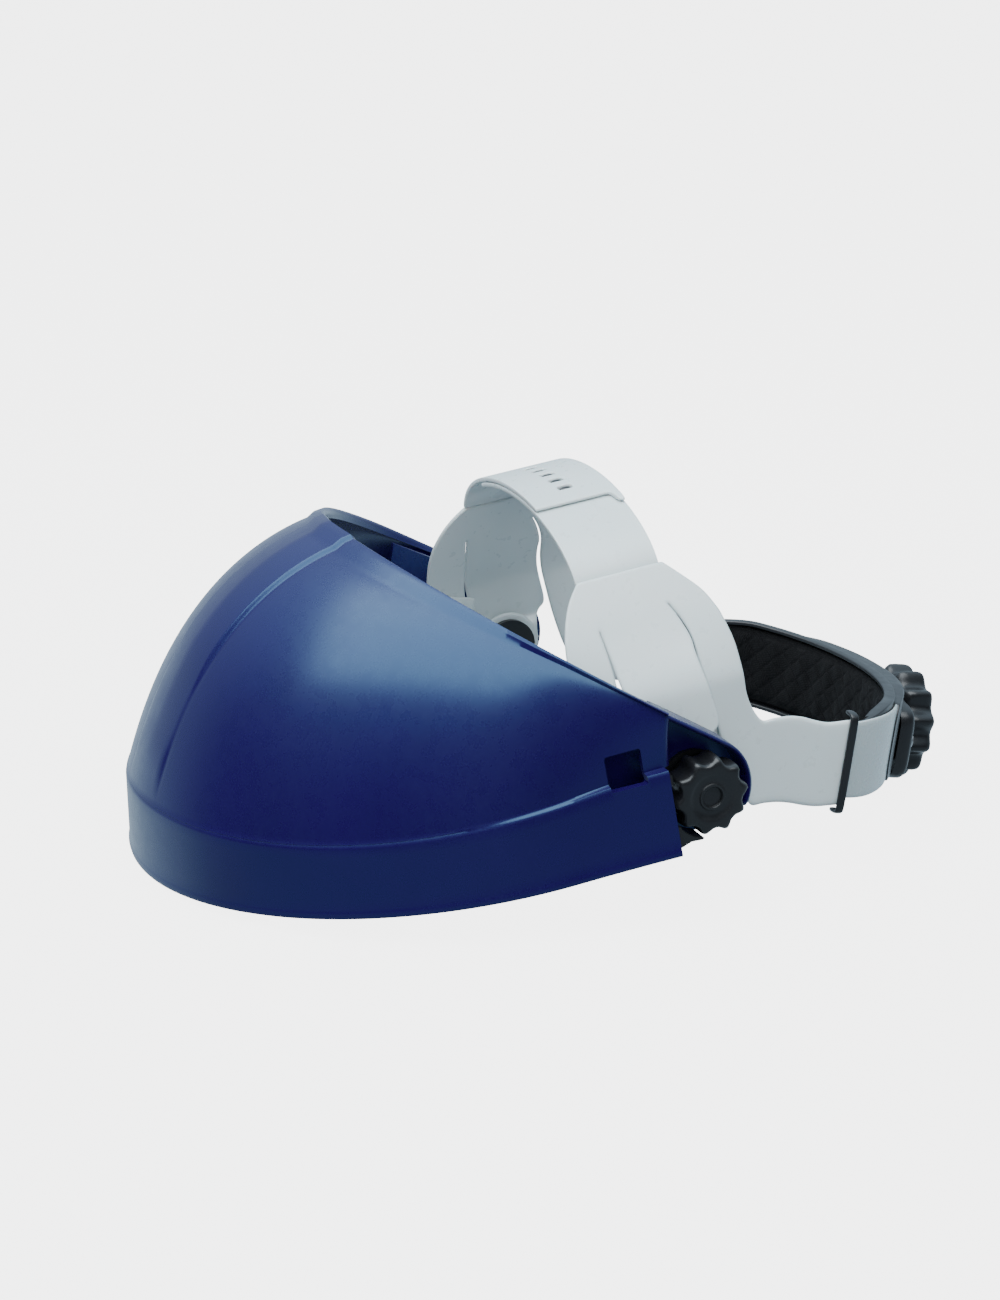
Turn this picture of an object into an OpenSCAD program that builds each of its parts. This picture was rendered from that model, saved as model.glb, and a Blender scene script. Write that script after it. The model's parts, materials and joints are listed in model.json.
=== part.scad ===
// Face-shield headgear: a moulded crown protector that tilts on a ratchet headband.
// Millimetres, +X to the wearer's left, -Y to the front, +Z up.
// It stands on the crown's front edge and on the rear knob, as it is put down on a bench.

/* [Crown] */
// Half width of the band's lower edge
crown_half_w = 109.8; // [107:0.1:112]
// Reach of the rounded front ahead of the straight sides
crown_reach = 114.8; // [112:0.1:118]
// Where the straight sides meet the rounded front, from the pivot
crown_mid_y = -50; // [-54:0.5:-48]
// Rear end of the band, from the pivot
crown_rear_y = -14; // [-16:0.5:-13]
// Height of the band at its rear end
band_rear_h = 28.7; // [27:0.1:30]
// Height of the band at the front
band_front_h = 26.2; // [25:0.1:28]
// How far the band's top edge dips between side and front
band_dip = 3.2; // [2:0.1:4]
// How far the band leans inwards over its height
band_draft = 3.1; // [2:0.1:4]
// Wall of the crown
crown_wall = 2.4; // [2:0.1:3]
// Highest point of the rim, from the pivot
rim_top_y = -77; // [-80:0.5:-74]
// Height of that point
rim_top_z = 97.5; // [95:0.5:100]
// Half width of the rim's arch
rim_half_w = 103.8; // [102:0.1:105]
// Depth of the arch along its own slope
rim_depth = 96.5; // [94:0.5:99]
// Slope of the rim's plane
rim_slope = 37.8; // [36:0.1:40]
// Width of the slot that each visor hook passes through
window_w = 12.5; // [11:0.5:14]
// Height of that slot
window_h = 11; // [9:0.5:12]

/* [Pivots] */
// Height of the tilt axis above the crown's lower edge
pivot_z = 15.7; // [15:0.1:17]
// Radius of the threaded stud
stud_r = 3; // [2.5:0.1:3.5]
// Radial running clearance around the stud
fit = 0.06; // [0.03:0.01:0.09]
// Inner face of each crown ear
ear_x = 87.2; // [86:0.1:88]
// Outer radius of the ear around the axis
ear_r = 17.3; // [17:0.1:17.5]
// Outer face of each tension knob
knob_face_x = 107.8; // [107:0.1:109]
// Radius over the lobes of a tension knob
knob_r = 13.2; // [12.5:0.1:13.6]

/* [Headband] */
// Inner half width of the headband ring
ring_half_w = 73; // [72:0.5:74]
// Front reach of the ring ahead of its straight sides
ring_front_reach = 68; // [62:1:70]
// Rear reach of the ring behind its straight sides
ring_rear_reach = 54; // [52:1:56]
// How far the ring slopes down to the rear
ring_tilt = 17; // [15:0.5:18]
// Thickness of the moulded straps
strap_t = 1.6; // [1.4:0.1:1.8]
// Height of the brow band and side straps
strap_h = 32; // [30:1:34]
// Half width of the overhead strap's arch
arch_half_w = 53; // [51:0.5:54]
// Rise of the arch above its springing
arch_rise = 24; // [22:0.5:26]
// Height of that springing
arch_z = 73; // [71:0.5:74]
// Width of the overhead strap
arch_w = 30; // [26:1:32]

/* [Ratchet] */
// Radius over the lobes of the rear knob
ratchet_r = 20.3; // [19:0.1:21]
// Rear face of the rear knob along the ring
ratchet_face_y = 130; // [128:0.5:131]
// How far the rear knob sits below the ring's middle
ratchet_drop = 5; // [4:0.5:6]
// Number of teeth on the drive pinion
pinion_teeth = 14; // [14:2:16]
// Size of the teeth, as pitch diameter over number of teeth
tooth_module = 1; // [0.9:0.05:1]

/* [Hidden] */
$fn = 48;
skin = 0.3;
straight_share = 0.13;
rear_flare = 1.05;
rim_start = 7;
rim_peak = 3.9;
rise = 0.41;
lean = 0.16;
crest_x = 0.415;
crest_y = 0.557;
crest_z = 0.084;
crown_cols = 56;
dome_rows = 12;

ring_z = 18.5;
ring_front_y = -22;
ring_rear_y = 57;
pad_h = 31.4;
tail_gap = 1;
base_gap = tail_gap + strap_t + 0.1;
base_t = 1.6;
pad_gap = base_gap + base_t;
pad_t = 4;
bar_y = 64;
bar_w = 2.6;
loop_h = 36;
loop_t = 1.8;
side_strap_start = 27;
wave_y = 43;
wave_l = 26;
side_strap_end = bar_y + 4;

plate_top_z = 78;
plate_foot_z = 40;
plate_lean = 21;
tongue_x = 75;
boss_top_z = pivot_z + 12;
stud_head_x = 72.9;
knob_back_x = 91.9;
rim_cut_y = -10;

pinion_r = pinion_teeth * tooth_module / 2;
base_r = pinion_r * cos(20);
rack_h = 3;
rack_depth = 3;
cavity_y = 109.4;
hub_r = 6;
axle_r = 2;
lobes = 12;
lobe_r = 3.2;
lobe_pitch_r = ratchet_r - lobe_r;

// The knob's two lowest lobes straddle its centre line and touch the bench at the rear face.
knob_low_z = -ratchet_drop - lobe_pitch_r * cos(180 / lobes) - lobe_r;
rest_y = ratchet_face_y * cos(ring_tilt) + knob_low_z * sin(ring_tilt);
rest_z = ring_z - ratchet_face_y * sin(ring_tilt) + knob_low_z * cos(ring_tilt);
front_y = crown_mid_y - crown_reach;
rest_pitch = atan(-rest_z / (rest_y - front_y));
lift = -front_y * sin(rest_pitch);
// The knob's highest lobe is the rearmost point of the whole headgear.
high_z = -ratchet_drop + lobe_pitch_r * cos(180 / lobes) + lobe_r;
high_y = ratchet_face_y * cos(ring_tilt - rest_pitch) + high_z * sin(ring_tilt - rest_pitch)
    - ring_z * sin(rest_pitch);
row_y = -(high_y + front_y * cos(rest_pitch)) / 2;

// Stands a piece drawn in the crown's own frame on the bench.
module place() {
    translate([0, row_y, lift]) rotate([rest_pitch, 0, 0]) children();
}

// Frame of the headband ring, whose middle plane slopes down to the rear.
module ring_frame() {
    place() translate([0, 0, ring_z]) rotate([-ring_tilt, 0, 0]) children();
}

// Frame of the ratchet knob's axis: +Z of the children points to the rear.
module knob_frame(y) {
    ring_frame() translate([0, y, -ratchet_drop]) rotate([-90, 0, 0]) children();
}

// A plate drawn in the Y-Z plane, from x0 to x1.
module side_plate(x0, x1) {
    translate([x0, 0, 0]) rotate([90, 0, 90]) linear_extrude(x1 - x0) children();
}

// A bar of round section along X at the tilt axis, from x0 to x1.
module axis_disc(x0, x1, r) {
    translate([x0, 0, pivot_z]) rotate([0, 90, 0]) cylinder(h = x1 - x0, r = r);
}

module on_side(side) {
    if (side > 0) children();
    else mirror([1, 0, 0]) children();
}

// --- Crown surface: t runs round the band from left rear over the front to right rear. ---
function fold(t) = min(t, 1 - t);
function hand(t) = t <= 0.5 ? 1 : -1;

function straight_side(t, inset) = let (u = 1 - fold(t) / straight_share)
    [hand(t) * (crown_half_w + rear_flare * u * u - inset),
     crown_mid_y + (crown_rear_y - crown_mid_y) * u];

function round_front(t, inset) = let (a = 90 * (fold(t) - straight_share) / (0.5 - straight_share))
    [hand(t) * (crown_half_w - inset) * cos(a), crown_mid_y - (crown_reach - inset) * sin(a)];

function band_plan(t, inset) = fold(t) < straight_share ? straight_side(t, inset) : round_front(t, inset);

function band_top(t) = let (a = 180 * fold(t))
    band_rear_h + (band_front_h - band_rear_h) * pow(sin(a), 2) - band_dip * pow(sin(2 * a), 2);

function ledge(t) = band_draft + 0.6 + 3 * pow(max(0, 1 - fold(t) / 0.21), 1.5);

function rim(t) = let (
        a = rim_start + (90 - rim_start) * fold(t) / 0.5,
        x = rim_half_w * cos(a),
        q = rim_depth * (1 - sin(a)) - rim_peak * pow(max(0, 1 - x / 60), 2)
    )
    [hand(t) * x, rim_top_y + q * cos(rim_slope), rim_top_z - q * sin(rim_slope)];

// Rising curve of the dome from the ledge on the band up to the rim.
function dome(t, v) = let (
        foot = band_plan(t, ledge(t)),
        p0 = [foot.x, foot.y, band_top(t)],
        p3 = rim(t),
        h = p3.z - p0.z,
        p1 = p0 + [lean * (p3.x - p0.x), lean * (p3.y - p0.y), rise * h],
        p2 = p3 + [crest_x * (p0.x - p3.x), crest_y * (p0.y - p3.y), -crest_z * h],
        w = 1 - v
    )
    w * w * w * p0 + 3 * w * w * v * p1 + 3 * w * v * v * p2 + v * v * v * p3;

function flat_to_3d(p, z) = [p.x, p.y, z];

// Row 0 is the lower edge, row 1 the band's top edge, the rest the dome.
function outer_point(t, row) =
    row == 0 ? flat_to_3d(band_plan(t, 0), 0)
    : row == 1 ? flat_to_3d(band_plan(t, band_draft), band_top(t))
    : dome(t, (row - 2) / dome_rows);

last_row = dome_rows + 2;

function along(t, row) = outer_point(min(1, t + 0.004), row) - outer_point(max(0, t - 0.004), row);
function upward(t, row) = outer_point(t, min(last_row, row + 1)) - outer_point(t, max(0, row - 1));
function unit(v) = v / norm(v);

function inner_point(t, row) = let (
        n = unit(cross(upward(t, row), along(t, row))),
        p = outer_point(t, row) - crown_wall * n
    )
    row == 0 ? [p.x, p.y, 0] : p;

function grid(i, j) = i * (last_row + 1) + j;

module crown_skin() {
    cols = crown_cols;
    far = (cols + 1) * (last_row + 1);
    outside = [for (i = [0 : cols], j = [0 : last_row]) outer_point(i / cols, j)];
    inside = [for (i = [0 : cols], j = [0 : last_row]) inner_point(i / cols, j)];
    walls = [for (i = [0 : cols - 1], j = [0 : last_row - 1])
        let (a = grid(i, j), b = grid(i + 1, j), c = grid(i + 1, j + 1), d = grid(i, j + 1))
        each [[a, b, c], [a, c, d], [far + c, far + b, far + a], [far + d, far + c, far + a]]];
    edges = [for (i = [0 : cols - 1])
        let (a = grid(i, 0), b = grid(i + 1, 0), c = grid(i + 1, last_row), d = grid(i, last_row))
        each [[b, a, far + a], [b, far + a, far + b], [d, c, far + c], [d, far + c, far + d]]];
    ends = [for (j = [0 : last_row - 1])
        let (a = grid(0, j), d = grid(0, j + 1), b = grid(cols, j), c = grid(cols, j + 1))
        each [[a, d, far + d], [a, far + d, far + a], [c, b, far + b], [c, far + b, far + c]]];
    polyhedron(points = concat(outside, inside), faces = concat(walls, edges, ends));
}

module crown_shell() color("royalblue") place() difference() {
    crown_skin();
    for (side = [-1, 1]) on_side(side)
        translate([95, crown_rear_y - 7 - window_w, band_rear_h - 2.5]) cube([20, window_w, window_h]);
}

// --- Crown ears and pivots ---
function rim_line(y) = rim_top_z - (y - rim_top_y) * tan(rim_slope);

module ear_outline() {
    touch_y = ear_r * sin(rim_slope);
    touch_z = pivot_z + ear_r * cos(rim_slope);
    translate([0, pivot_z]) circle(r = ear_r);
    polygon([[-30, 30], [-12, 6], [0, pivot_z], [touch_y, touch_z], [-30, rim_line(-30) - 3]]);
}

// Raised lip that runs down the rim's line and wraps round the knob.
module ear_lip_outline() {
    lip = 1.6;
    touch_y = ear_r * sin(rim_slope);
    touch_z = pivot_z + ear_r * cos(rim_slope);
    difference() {
        translate([0, pivot_z]) circle(r = ear_r);
        translate([0, pivot_z]) circle(r = ear_r - lip);
        polygon([[-20, -10], [20, -10], [20, pivot_z - 6], [0, pivot_z - 6], [touch_y - 4, touch_z - 5],
            [-20, rim_line(-20) - 10]]);
    }
    polygon([[rim_cut_y, rim_line(rim_cut_y)], [rim_cut_y, rim_line(rim_cut_y) - lip - 0.5],
        [touch_y - lip * sin(rim_slope), touch_z - lip * cos(rim_slope)], [touch_y, touch_z]]);
}

module ear(side) color("royalblue") place() on_side(side) difference() {
    union() {
        side_plate(ear_x, ear_x + 2.5) ear_outline();
        side_plate(ear_x + 2, 100.5) ear_lip_outline();
        side_plate(ear_x + 2, 103) polygon([[crown_rear_y + 0.2, band_rear_h], [-11.6, band_rear_h],
            [-8, rim_line(-8)], [rim_cut_y + 0.2, rim_line(rim_cut_y + 0.2)]]);
    }
    axis_disc(ear_x - 5, ear_x + 5, stud_r + fit);
}

// Black arm that ties the ear to the rear end of the band.
module pivot_arm(side) color([0.07, 0.07, 0.08]) place() on_side(side) difference() {
    union() {
        axis_disc(ear_x + 2.5, ear_x + 4, 11);
        side_plate(ear_x + 2.5, ear_x + 4) polygon([[-13.6, 2], [0, pivot_z - 11], [0, pivot_z + 8],
            [rim_cut_y - 3, 26], [-13.6, 26]]);
        // Two feet reach out to the band's wall, one below the knob and one above it.
        for (foot = [[[ear_x + 3, 2], [108, 2], [107.3, 8.6], [ear_x + 3, 8.6]],
                [[ear_x + 3, 22.8], [105.6, 22.8], [105.3, 26], [ear_x + 3, 26]]])
            translate([0, -12, 0]) rotate([90, 0, 0]) linear_extrude(1.6) polygon(foot);
    }
    axis_disc(ear_x, ear_x + 6, stud_r + fit);
}

module washer(side) color("silver") place() on_side(side) difference() {
    axis_disc(ear_x + 4, knob_back_x - skin, 8.5);
    axis_disc(ear_x, knob_back_x + 5, stud_r + fit);
}

// Outline of a knob with n round lobes that reach r.
module lobed_outline(r, tip_r, n) {
    circle(r = r - tip_r + 0.3);
    for (k = [0 : n - 1]) rotate((k + 0.5) * 360 / n) translate([r - tip_r, 0]) circle(r = tip_r);
}

module tension_knob(side) color([0.08, 0.08, 0.09]) place() on_side(side) difference() {
    union() {
        axis_disc(knob_back_x, knob_back_x + 5, 9.4);
        side_plate(knob_back_x + 4, knob_face_x) translate([0, pivot_z]) lobed_outline(knob_r, 2.4, 10);
    }
    axis_disc(knob_back_x - 1, knob_back_x + 10.5, stud_r + fit);
    axis_disc(knob_face_x - 1, knob_face_x + 1, 3.3);
}

// Headed stud: its disc shows inside the temple, its shank carries the ear and the knob.
module stud(side) color([0.1, 0.1, 0.1]) place() on_side(side) {
    axis_disc(stud_head_x, tongue_x, 9.5);
    axis_disc(tongue_x, knob_back_x + 10, stud_r);
}

module spacer(side) color([0.12, 0.12, 0.12]) place() on_side(side) difference() {
    axis_disc(tongue_x + strap_t, ear_x - skin, 9);
    axis_disc(tongue_x, ear_x + 1, stud_r + fit);
}

// --- Temple plates ---
function plate_x(z) = let (s = max(0, min(1, (z - plate_foot_z) / (plate_top_z - plate_foot_z))))
    ring_half_w - plate_lean * pow(s, 1.3);
function tongue_bow(z) = let (s = max(0, min(1, (z - boss_top_z) / (68 - boss_top_z))))
    (tongue_x - ring_half_w) * (1 - s) + 3 * sin(180 * s);

// A sheet standing along the temple, strap_t thick, offset outwards by bow(z).
module temple_sheet(z0, z1, bowed) {
    step = 3;
    zs = [for (z = [z0 : step : z1 - 1]) z];
    function sheet_x(z) = plate_x(z) + (bowed ? tongue_bow(z) : 0);
    inner = [for (z = concat(zs, [z1])) [sheet_x(z), z]];
    outer = [for (k = [len(inner) - 1 : -1 : 0]) inner[k] + [strap_t, 0]];
    rotate([90, 0, 0]) linear_extrude(100, center = true) polygon(concat(inner, outer));
}

module wing_outline() {
    polygon([[-16, plate_top_z], [-21, 73.5], [-25, 67], [-27.5, 60], [-28.5, 52], [-29, 14],
        [-14.5, 10], [-14.5, 42], [-14.3, 63], [-9, 66], [9, 68], [13, 62], [16.5, 50], [18.5, 34],
        [20.5, 16], [24, 2], [36, -3], [33, 23], [30, 31], [29.5, 50], [28, 60], [24.5, 67.5],
        [19.5, 73], [14, plate_top_z]]);
}

module tongue_outline() {
    polygon([[-13.8, 66], [-12.4, 50], [-11.6, 34], [-11, pivot_z], [11, pivot_z], [13, 26],
        [16.2, 28], [15.6, 38], [14.6, 48], [14.6, 56], [12.6, 63], [11.5, 66]]);
    translate([0, pivot_z]) circle(r = 12);
}

module temple_plate(side) color([0.74, 0.79, 0.8]) place() on_side(side) difference() {
    union() {
        intersection() {
            side_plate(40, 90) wing_outline();
            temple_sheet(-6, plate_top_z, false);
        }
        intersection() {
            side_plate(40, 90) tongue_outline();
            temple_sheet(0, 66.5, true);
        }
    }
    axis_disc(tongue_x - 5, tongue_x + 5, stud_r + fit);
    // The side strap takes over here.
    translate([0, 0, ring_z]) rotate([-ring_tilt, 0, 0])
        translate([50, side_strap_start, -40]) cube([40, 40, 80]);
}

// --- Headband ring: flat outlines that follow one egg-shaped path ---
function ring_point(a, gap) = let (w = ring_half_w - gap)
    a < 0 ? [w * cos(a), ring_front_y + (ring_front_reach - gap) * sin(a)]
    : [w * cos(a), ring_rear_y + (ring_rear_reach - gap) * sin(a)];

function ring_arc(a0, a1, gap) = [for (k = [0 : 24]) ring_point(a0 + (a1 - a0) * k / 24, gap)];
function reversed(list) = [for (k = [len(list) - 1 : -1 : 0]) list[k]];

// Strip between two offsets of the path, from angle a0 to a1.
module ring_strip(a0, a1, gap, t, h) {
    translate([0, 0, -h / 2]) linear_extrude(h)
        polygon(concat(ring_arc(a0, a1, gap), reversed(ring_arc(a0, a1, gap - t))));
}

// Straight strip along one temple, from y0 to y1.
module ring_side(y0, y1, gap, t, h) {
    translate([ring_half_w - gap, y0, -h / 2]) cube([t, y1 - y0, h]);
}

module brow_band() color([0.72, 0.77, 0.78]) ring_frame() {
    ring_strip(-180, -0.001, strap_t, strap_t, strap_h - 2);
    for (side = [-1, 1]) on_side(side)
        ring_side(ring_front_y - 0.01, -16, strap_t, strap_t, strap_h - 2);
}

module brow_pad() color([0.16, 0.17, 0.19]) ring_frame()
    ring_strip(-168, -12, strap_t + 3.2, 3, strap_h - 4);

// Wavy outline of a side strap, seen from the side.
module side_strap_outline() {
    half = strap_h / 2 - 1;
    step = (side_strap_end - side_strap_start) / 16;
    ys = [for (k = [0 : 16]) side_strap_start + step * k];
    top_edge = [for (y = ys) [y, half + 0.9 * cos(360 * (y - wave_y) / wave_l)]];
    low_edge = [for (y = ys) [y, -half + 0.6 * cos(360 * (y - wave_y) / wave_l)]];
    polygon(concat(top_edge, reversed(low_edge)));
}

module side_strap(side) color([0.74, 0.79, 0.8]) ring_frame() on_side(side) {
    intersection() {
        side_plate(60, 80) side_strap_outline();
        union() {
            ring_side(side_strap_start, ring_rear_y, 0, strap_t, strap_h + 4);
            ring_strip(0, 30, 0, strap_t, strap_h + 4);
        }
    }
}

// --- Overhead strap ---
function arch_point(a, gap) = [(arch_half_w + gap) * cos(a), arch_z + (arch_rise + gap) * sin(a)];

module arch_strip(a0, a1, gap, t, w) {
    inner = [for (k = [0 : 28]) arch_point(a0 + (a1 - a0) * k / 28, gap)];
    outer = [for (k = [28 : -1 : 0]) arch_point(a0 + (a1 - a0) * k / 28, gap + t)];
    translate([0, w / 2 - 1.5, 0]) rotate([90, 0, 0]) linear_extrude(w) polygon(concat(inner, outer));
}

function slot_angle(k) = 84 + 7 * k;

module lower_crown_strap() color([0.76, 0.81, 0.82]) place() {
    arch_strip(15, 125, -strap_t, strap_t, arch_w);
    for (k = [1, 3]) let (p = arch_point(slot_angle(k), 0))
        translate([p.x, -1.5, p.y - 0.4]) cylinder(h = 1.8, r = 0.7);
}

module upper_crown_strap() color([0.76, 0.81, 0.82]) place() difference() {
    arch_strip(64, 166, skin, strap_t, arch_w);
    for (k = [-1 : 5]) let (p = arch_point(slot_angle(k), 0))
        translate([p.x, -1.5, p.y]) cube([2.6, 5.5, 8], center = true);
}

// --- Rear ratchet ---
module strap_tail(side) color([0.68, 0.73, 0.74]) ring_frame() on_side(side) {
    ring_side(46, ring_rear_y + 0.01, tail_gap + strap_t, strap_t, strap_h - 6);
    ring_strip(0, 64, tail_gap + strap_t, strap_t, strap_h - 6);
}

// Black loop whose bar crosses the outside of the strap.
module loop(side) color([0.07, 0.07, 0.08]) ring_frame() on_side(side) {
    outside = strap_t + 0.4;
    inside_x = ring_half_w - base_gap;
    translate([ring_half_w + outside, bar_y - bar_w / 2, -loop_h / 2]) cube([1.4, bar_w, loop_h]);
    for (z = [-loop_h / 2, loop_h / 2 - loop_t])
        translate([inside_x - 1, bar_y - bar_w / 2, z]) cube([base_gap + outside + 1.2, bar_w, loop_t]);
}

module ratchet_base() color([0.1, 0.1, 0.11]) ring_frame() difference() {
    union() {
        ring_strip(9, 171, base_gap + base_t, base_t, pad_h);
        intersection() {
            translate([-27, cavity_y - 5, -ratchet_drop - 14]) cube([54, 4.4, 28]);
            translate([0, 0, -30]) linear_extrude(60)
                polygon(concat([[-60, 140]], reversed(ring_arc(9, 171, base_gap)), [[60, 140]]));
        }
    }
    translate([0, 0, -ratchet_drop]) rotate([-90, 0, 0]) cylinder(h = 200, r = axle_r);
}

// Housing cover: a shallow box closed to the rear, with a collar for the knob's hub.
module ratchet_cover() color([0.09, 0.09, 0.1]) difference() {
    union() {
        knob_frame(cavity_y - 0.5) cylinder(h = 8.5, r = 17);
        ring_frame() translate([-34, cavity_y - 0.5, -ratchet_drop - 14]) cube([68, 6, 28]);
    }
    ring_frame() translate([-31.5, cavity_y - 1, -ratchet_drop - 12]) cube([63, 4.6, 24]);
    knob_frame(cavity_y - 1) cylinder(h = 20, r = hub_r + fit);
    ring_frame() for (side = [-1, 1])
        translate([side * 26, cavity_y, -ratchet_drop]) rotate([-90, 0, 0]) cylinder(h = 20, r = 1.6);
}

module rear_pad() color([0.06, 0.06, 0.07]) ring_frame()
    ring_strip(4, 176, pad_gap + pad_t, pad_t - 0.1, pad_h - 3);

module knob_axle() color("dimgray") {
    knob_frame(cavity_y - 2.7) cylinder(h = 18.5, r = axle_r);
}

module cover_screws() color("gray") ring_frame() for (side = [-1, 1])
    translate([side * 26, cavity_y - 0.5, -ratchet_drop]) rotate([-90, 0, 0]) {
        cylinder(h = 6.1, r = 1.5);
        translate([0, 0, 6]) cylinder(h = 1.2, r = 2.8);
    }

// Leaf that clicks over the pinion's teeth, drawn at the top of its click.
module detent_spring() color("silver") ring_frame()
    translate([pinion_r + 1.4, cavity_y + 0.6, -ratchet_drop - 5.5]) cube([0.6, 3, 11]);

// --- Ratchet knob, pinion and racks ---
module ratchet_knob() color([0.08, 0.08, 0.09]) difference() {
    union() {
        knob_frame(cavity_y + 3) cylinder(h = 10, r = hub_r);
        knob_frame(cavity_y + 8.6) linear_extrude(ratchet_face_y - cavity_y - 8.6)
            lobed_outline(ratchet_r, lobe_r, lobes);
    }
    knob_frame(cavity_y) cylinder(h = 17, r = axle_r + fit);
    knob_frame(ratchet_face_y - 2) cylinder(h = 4, r = 9);
}

function involute(a) = tan(a) * 180 / PI - a;
function flank_angle(r) = 90 / pinion_teeth - 1 + involute(20) - involute(acos(min(1, base_r / r)));

module drive_pinion() color("ivory") difference() {
    tip_r = pinion_r + 0.75 * tooth_module;
    radii = [base_r, (base_r + pinion_r) / 2, pinion_r, (pinion_r + tip_r) / 2, tip_r];
    flank = [for (r = radii) [r * cos(flank_angle(r)), r * sin(flank_angle(r))]];
    tooth = concat([for (p = flank) [p.x, -p.y]], reversed(flank));
    knob_frame(cavity_y) linear_extrude(rack_depth) {
        circle(r = base_r - 0.5);
        for (k = [0 : pinion_teeth - 1]) rotate(k * 360 / pinion_teeth)
            polygon(concat([[4, -0.6]], tooth, [[4, 0.6]]));
    }
    knob_frame(cavity_y - 1) cylinder(h = 6, r = axle_r + fit);
}

// Rack of straight-sided teeth; its pitch line lies on the pinion's pitch circle.
module rack_outline(x0, x1) {
    pitch = PI * tooth_module;
    half = pitch / 4 - 0.13;
    slope = tan(20);
    top = 0.75 * tooth_module;
    root = 1.1 * tooth_module;
    translate([x0, -root - rack_h]) square([x1 - x0, rack_h]);
    for (k = [ceil((x0 + 1) / pitch) : floor((x1 - 1) / pitch)]) translate([k * pitch, 0])
        polygon([[-half - root * slope, -root - 0.1], [half + root * slope, -root - 0.1],
            [half - top * slope, top], [-half + top * slope, top]]);
}

module rack(side) color("gainsboro") knob_frame(cavity_y) {
    rotate(side > 0 ? 0 : 180) translate([0, -pinion_r]) linear_extrude(rack_depth) rack_outline(-11, 25);
}

crown_shell();
ear(1);  // left_ear
ear(-1);  // right_ear
pivot_arm(1);  // left_pivot_arm
pivot_arm(-1);  // right_pivot_arm
washer(1);  // left_washer
washer(-1);  // right_washer
tension_knob(1);  // left_tension_knob
tension_knob(-1);  // right_tension_knob
stud(1);  // left_stud
stud(-1);  // right_stud
spacer(1);  // left_spacer
spacer(-1);  // right_spacer
temple_plate(1);  // left_temple_plate
temple_plate(-1);  // right_temple_plate
brow_band();
brow_pad();
lower_crown_strap();
upper_crown_strap();
side_strap(1);  // left_side_strap
side_strap(-1);  // right_side_strap
strap_tail(1);  // left_strap_tail
strap_tail(-1);  // right_strap_tail
loop(1);  // left_loop
loop(-1);  // right_loop
ratchet_base();
ratchet_cover();
rear_pad();
knob_axle();
cover_screws();
detent_spring();
ratchet_knob();
drive_pinion();
rack(1);  // left_rack
rack(-1);  // right_rack
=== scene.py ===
"""Looks of the face-shield headgear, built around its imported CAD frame.

Metres, +X to the wearer's left, -Y to the front, +Z up. Shapes are worked out in millimetres in the
crown's frame (flat on its lower edge) or in the headband ring's frame, and placed from the record.
"""

import json
import math

import bmesh
import bpy
from mathutils import Matrix, Vector


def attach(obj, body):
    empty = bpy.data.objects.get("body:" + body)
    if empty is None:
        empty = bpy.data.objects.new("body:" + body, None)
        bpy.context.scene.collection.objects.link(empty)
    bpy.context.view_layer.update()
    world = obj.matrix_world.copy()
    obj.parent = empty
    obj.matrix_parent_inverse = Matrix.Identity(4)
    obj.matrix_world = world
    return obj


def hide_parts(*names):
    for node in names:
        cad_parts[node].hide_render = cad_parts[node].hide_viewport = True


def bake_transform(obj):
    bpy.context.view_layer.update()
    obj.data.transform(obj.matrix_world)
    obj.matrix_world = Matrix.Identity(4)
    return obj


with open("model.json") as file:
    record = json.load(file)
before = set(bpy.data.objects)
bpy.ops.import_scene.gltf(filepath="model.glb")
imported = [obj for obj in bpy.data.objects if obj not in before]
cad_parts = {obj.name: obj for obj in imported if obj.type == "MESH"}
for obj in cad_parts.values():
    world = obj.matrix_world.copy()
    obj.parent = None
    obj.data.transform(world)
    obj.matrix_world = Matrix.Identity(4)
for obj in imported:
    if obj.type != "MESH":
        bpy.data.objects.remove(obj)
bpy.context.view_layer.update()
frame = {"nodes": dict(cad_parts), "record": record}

JOINTS = {joint["name"]: joint for joint in frame["record"]["behaviour"]["joints"]}
MOUNTS = {mount["name"]: mount for mount in frame["record"]["mounts"]}

# --- Frames ---
MM = Matrix.Scale(0.001, 4)
PIVOT_Z = 15.7
RING_Z = 18.5
DROP = 5.0


def crown_frame():
    """Crown frame to row frame, from the tilt joint and the normal of the crown's lower edge."""
    normal = MOUNTS["crown_lower_edge"]["axis"]
    pitch = math.atan2(normal[1], -normal[2])
    turn = Matrix.Rotation(pitch, 4, "X")
    pivot = Vector(JOINTS["crown_tilt"]["pos_m"])
    return Matrix.Translation(pivot) @ turn @ MM @ Matrix.Translation((0, 0, -PIVOT_Z)), pitch


CROWN, PITCH = crown_frame()
SLIDE = JOINTS["rear_slide"]["axis"]
RING_TILT = PITCH + math.atan2(SLIDE[2], -SLIDE[1])
RING = CROWN @ Matrix.Translation((0, 0, RING_Z)) @ Matrix.Rotation(-RING_TILT, 4, "X")
KNOB = RING @ Matrix.Translation((0, 0, -DROP)) @ Matrix.Rotation(-math.pi / 2, 4, "X")
RING_TO_CROWN = CROWN.inverted() @ RING


# --- Small maths ---
def mix(a, b, s):
    """The value s of the way from a to b."""
    return a + (b - a) * s


def clamp(s, low=0.0, high=1.0):
    return max(low, min(high, s))


def smooth(low, high, value):
    """Eased step from 0 at low to 1 at high."""
    s = clamp((value - low) / (high - low))
    return s * s * (3 - 2 * s)


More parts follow.
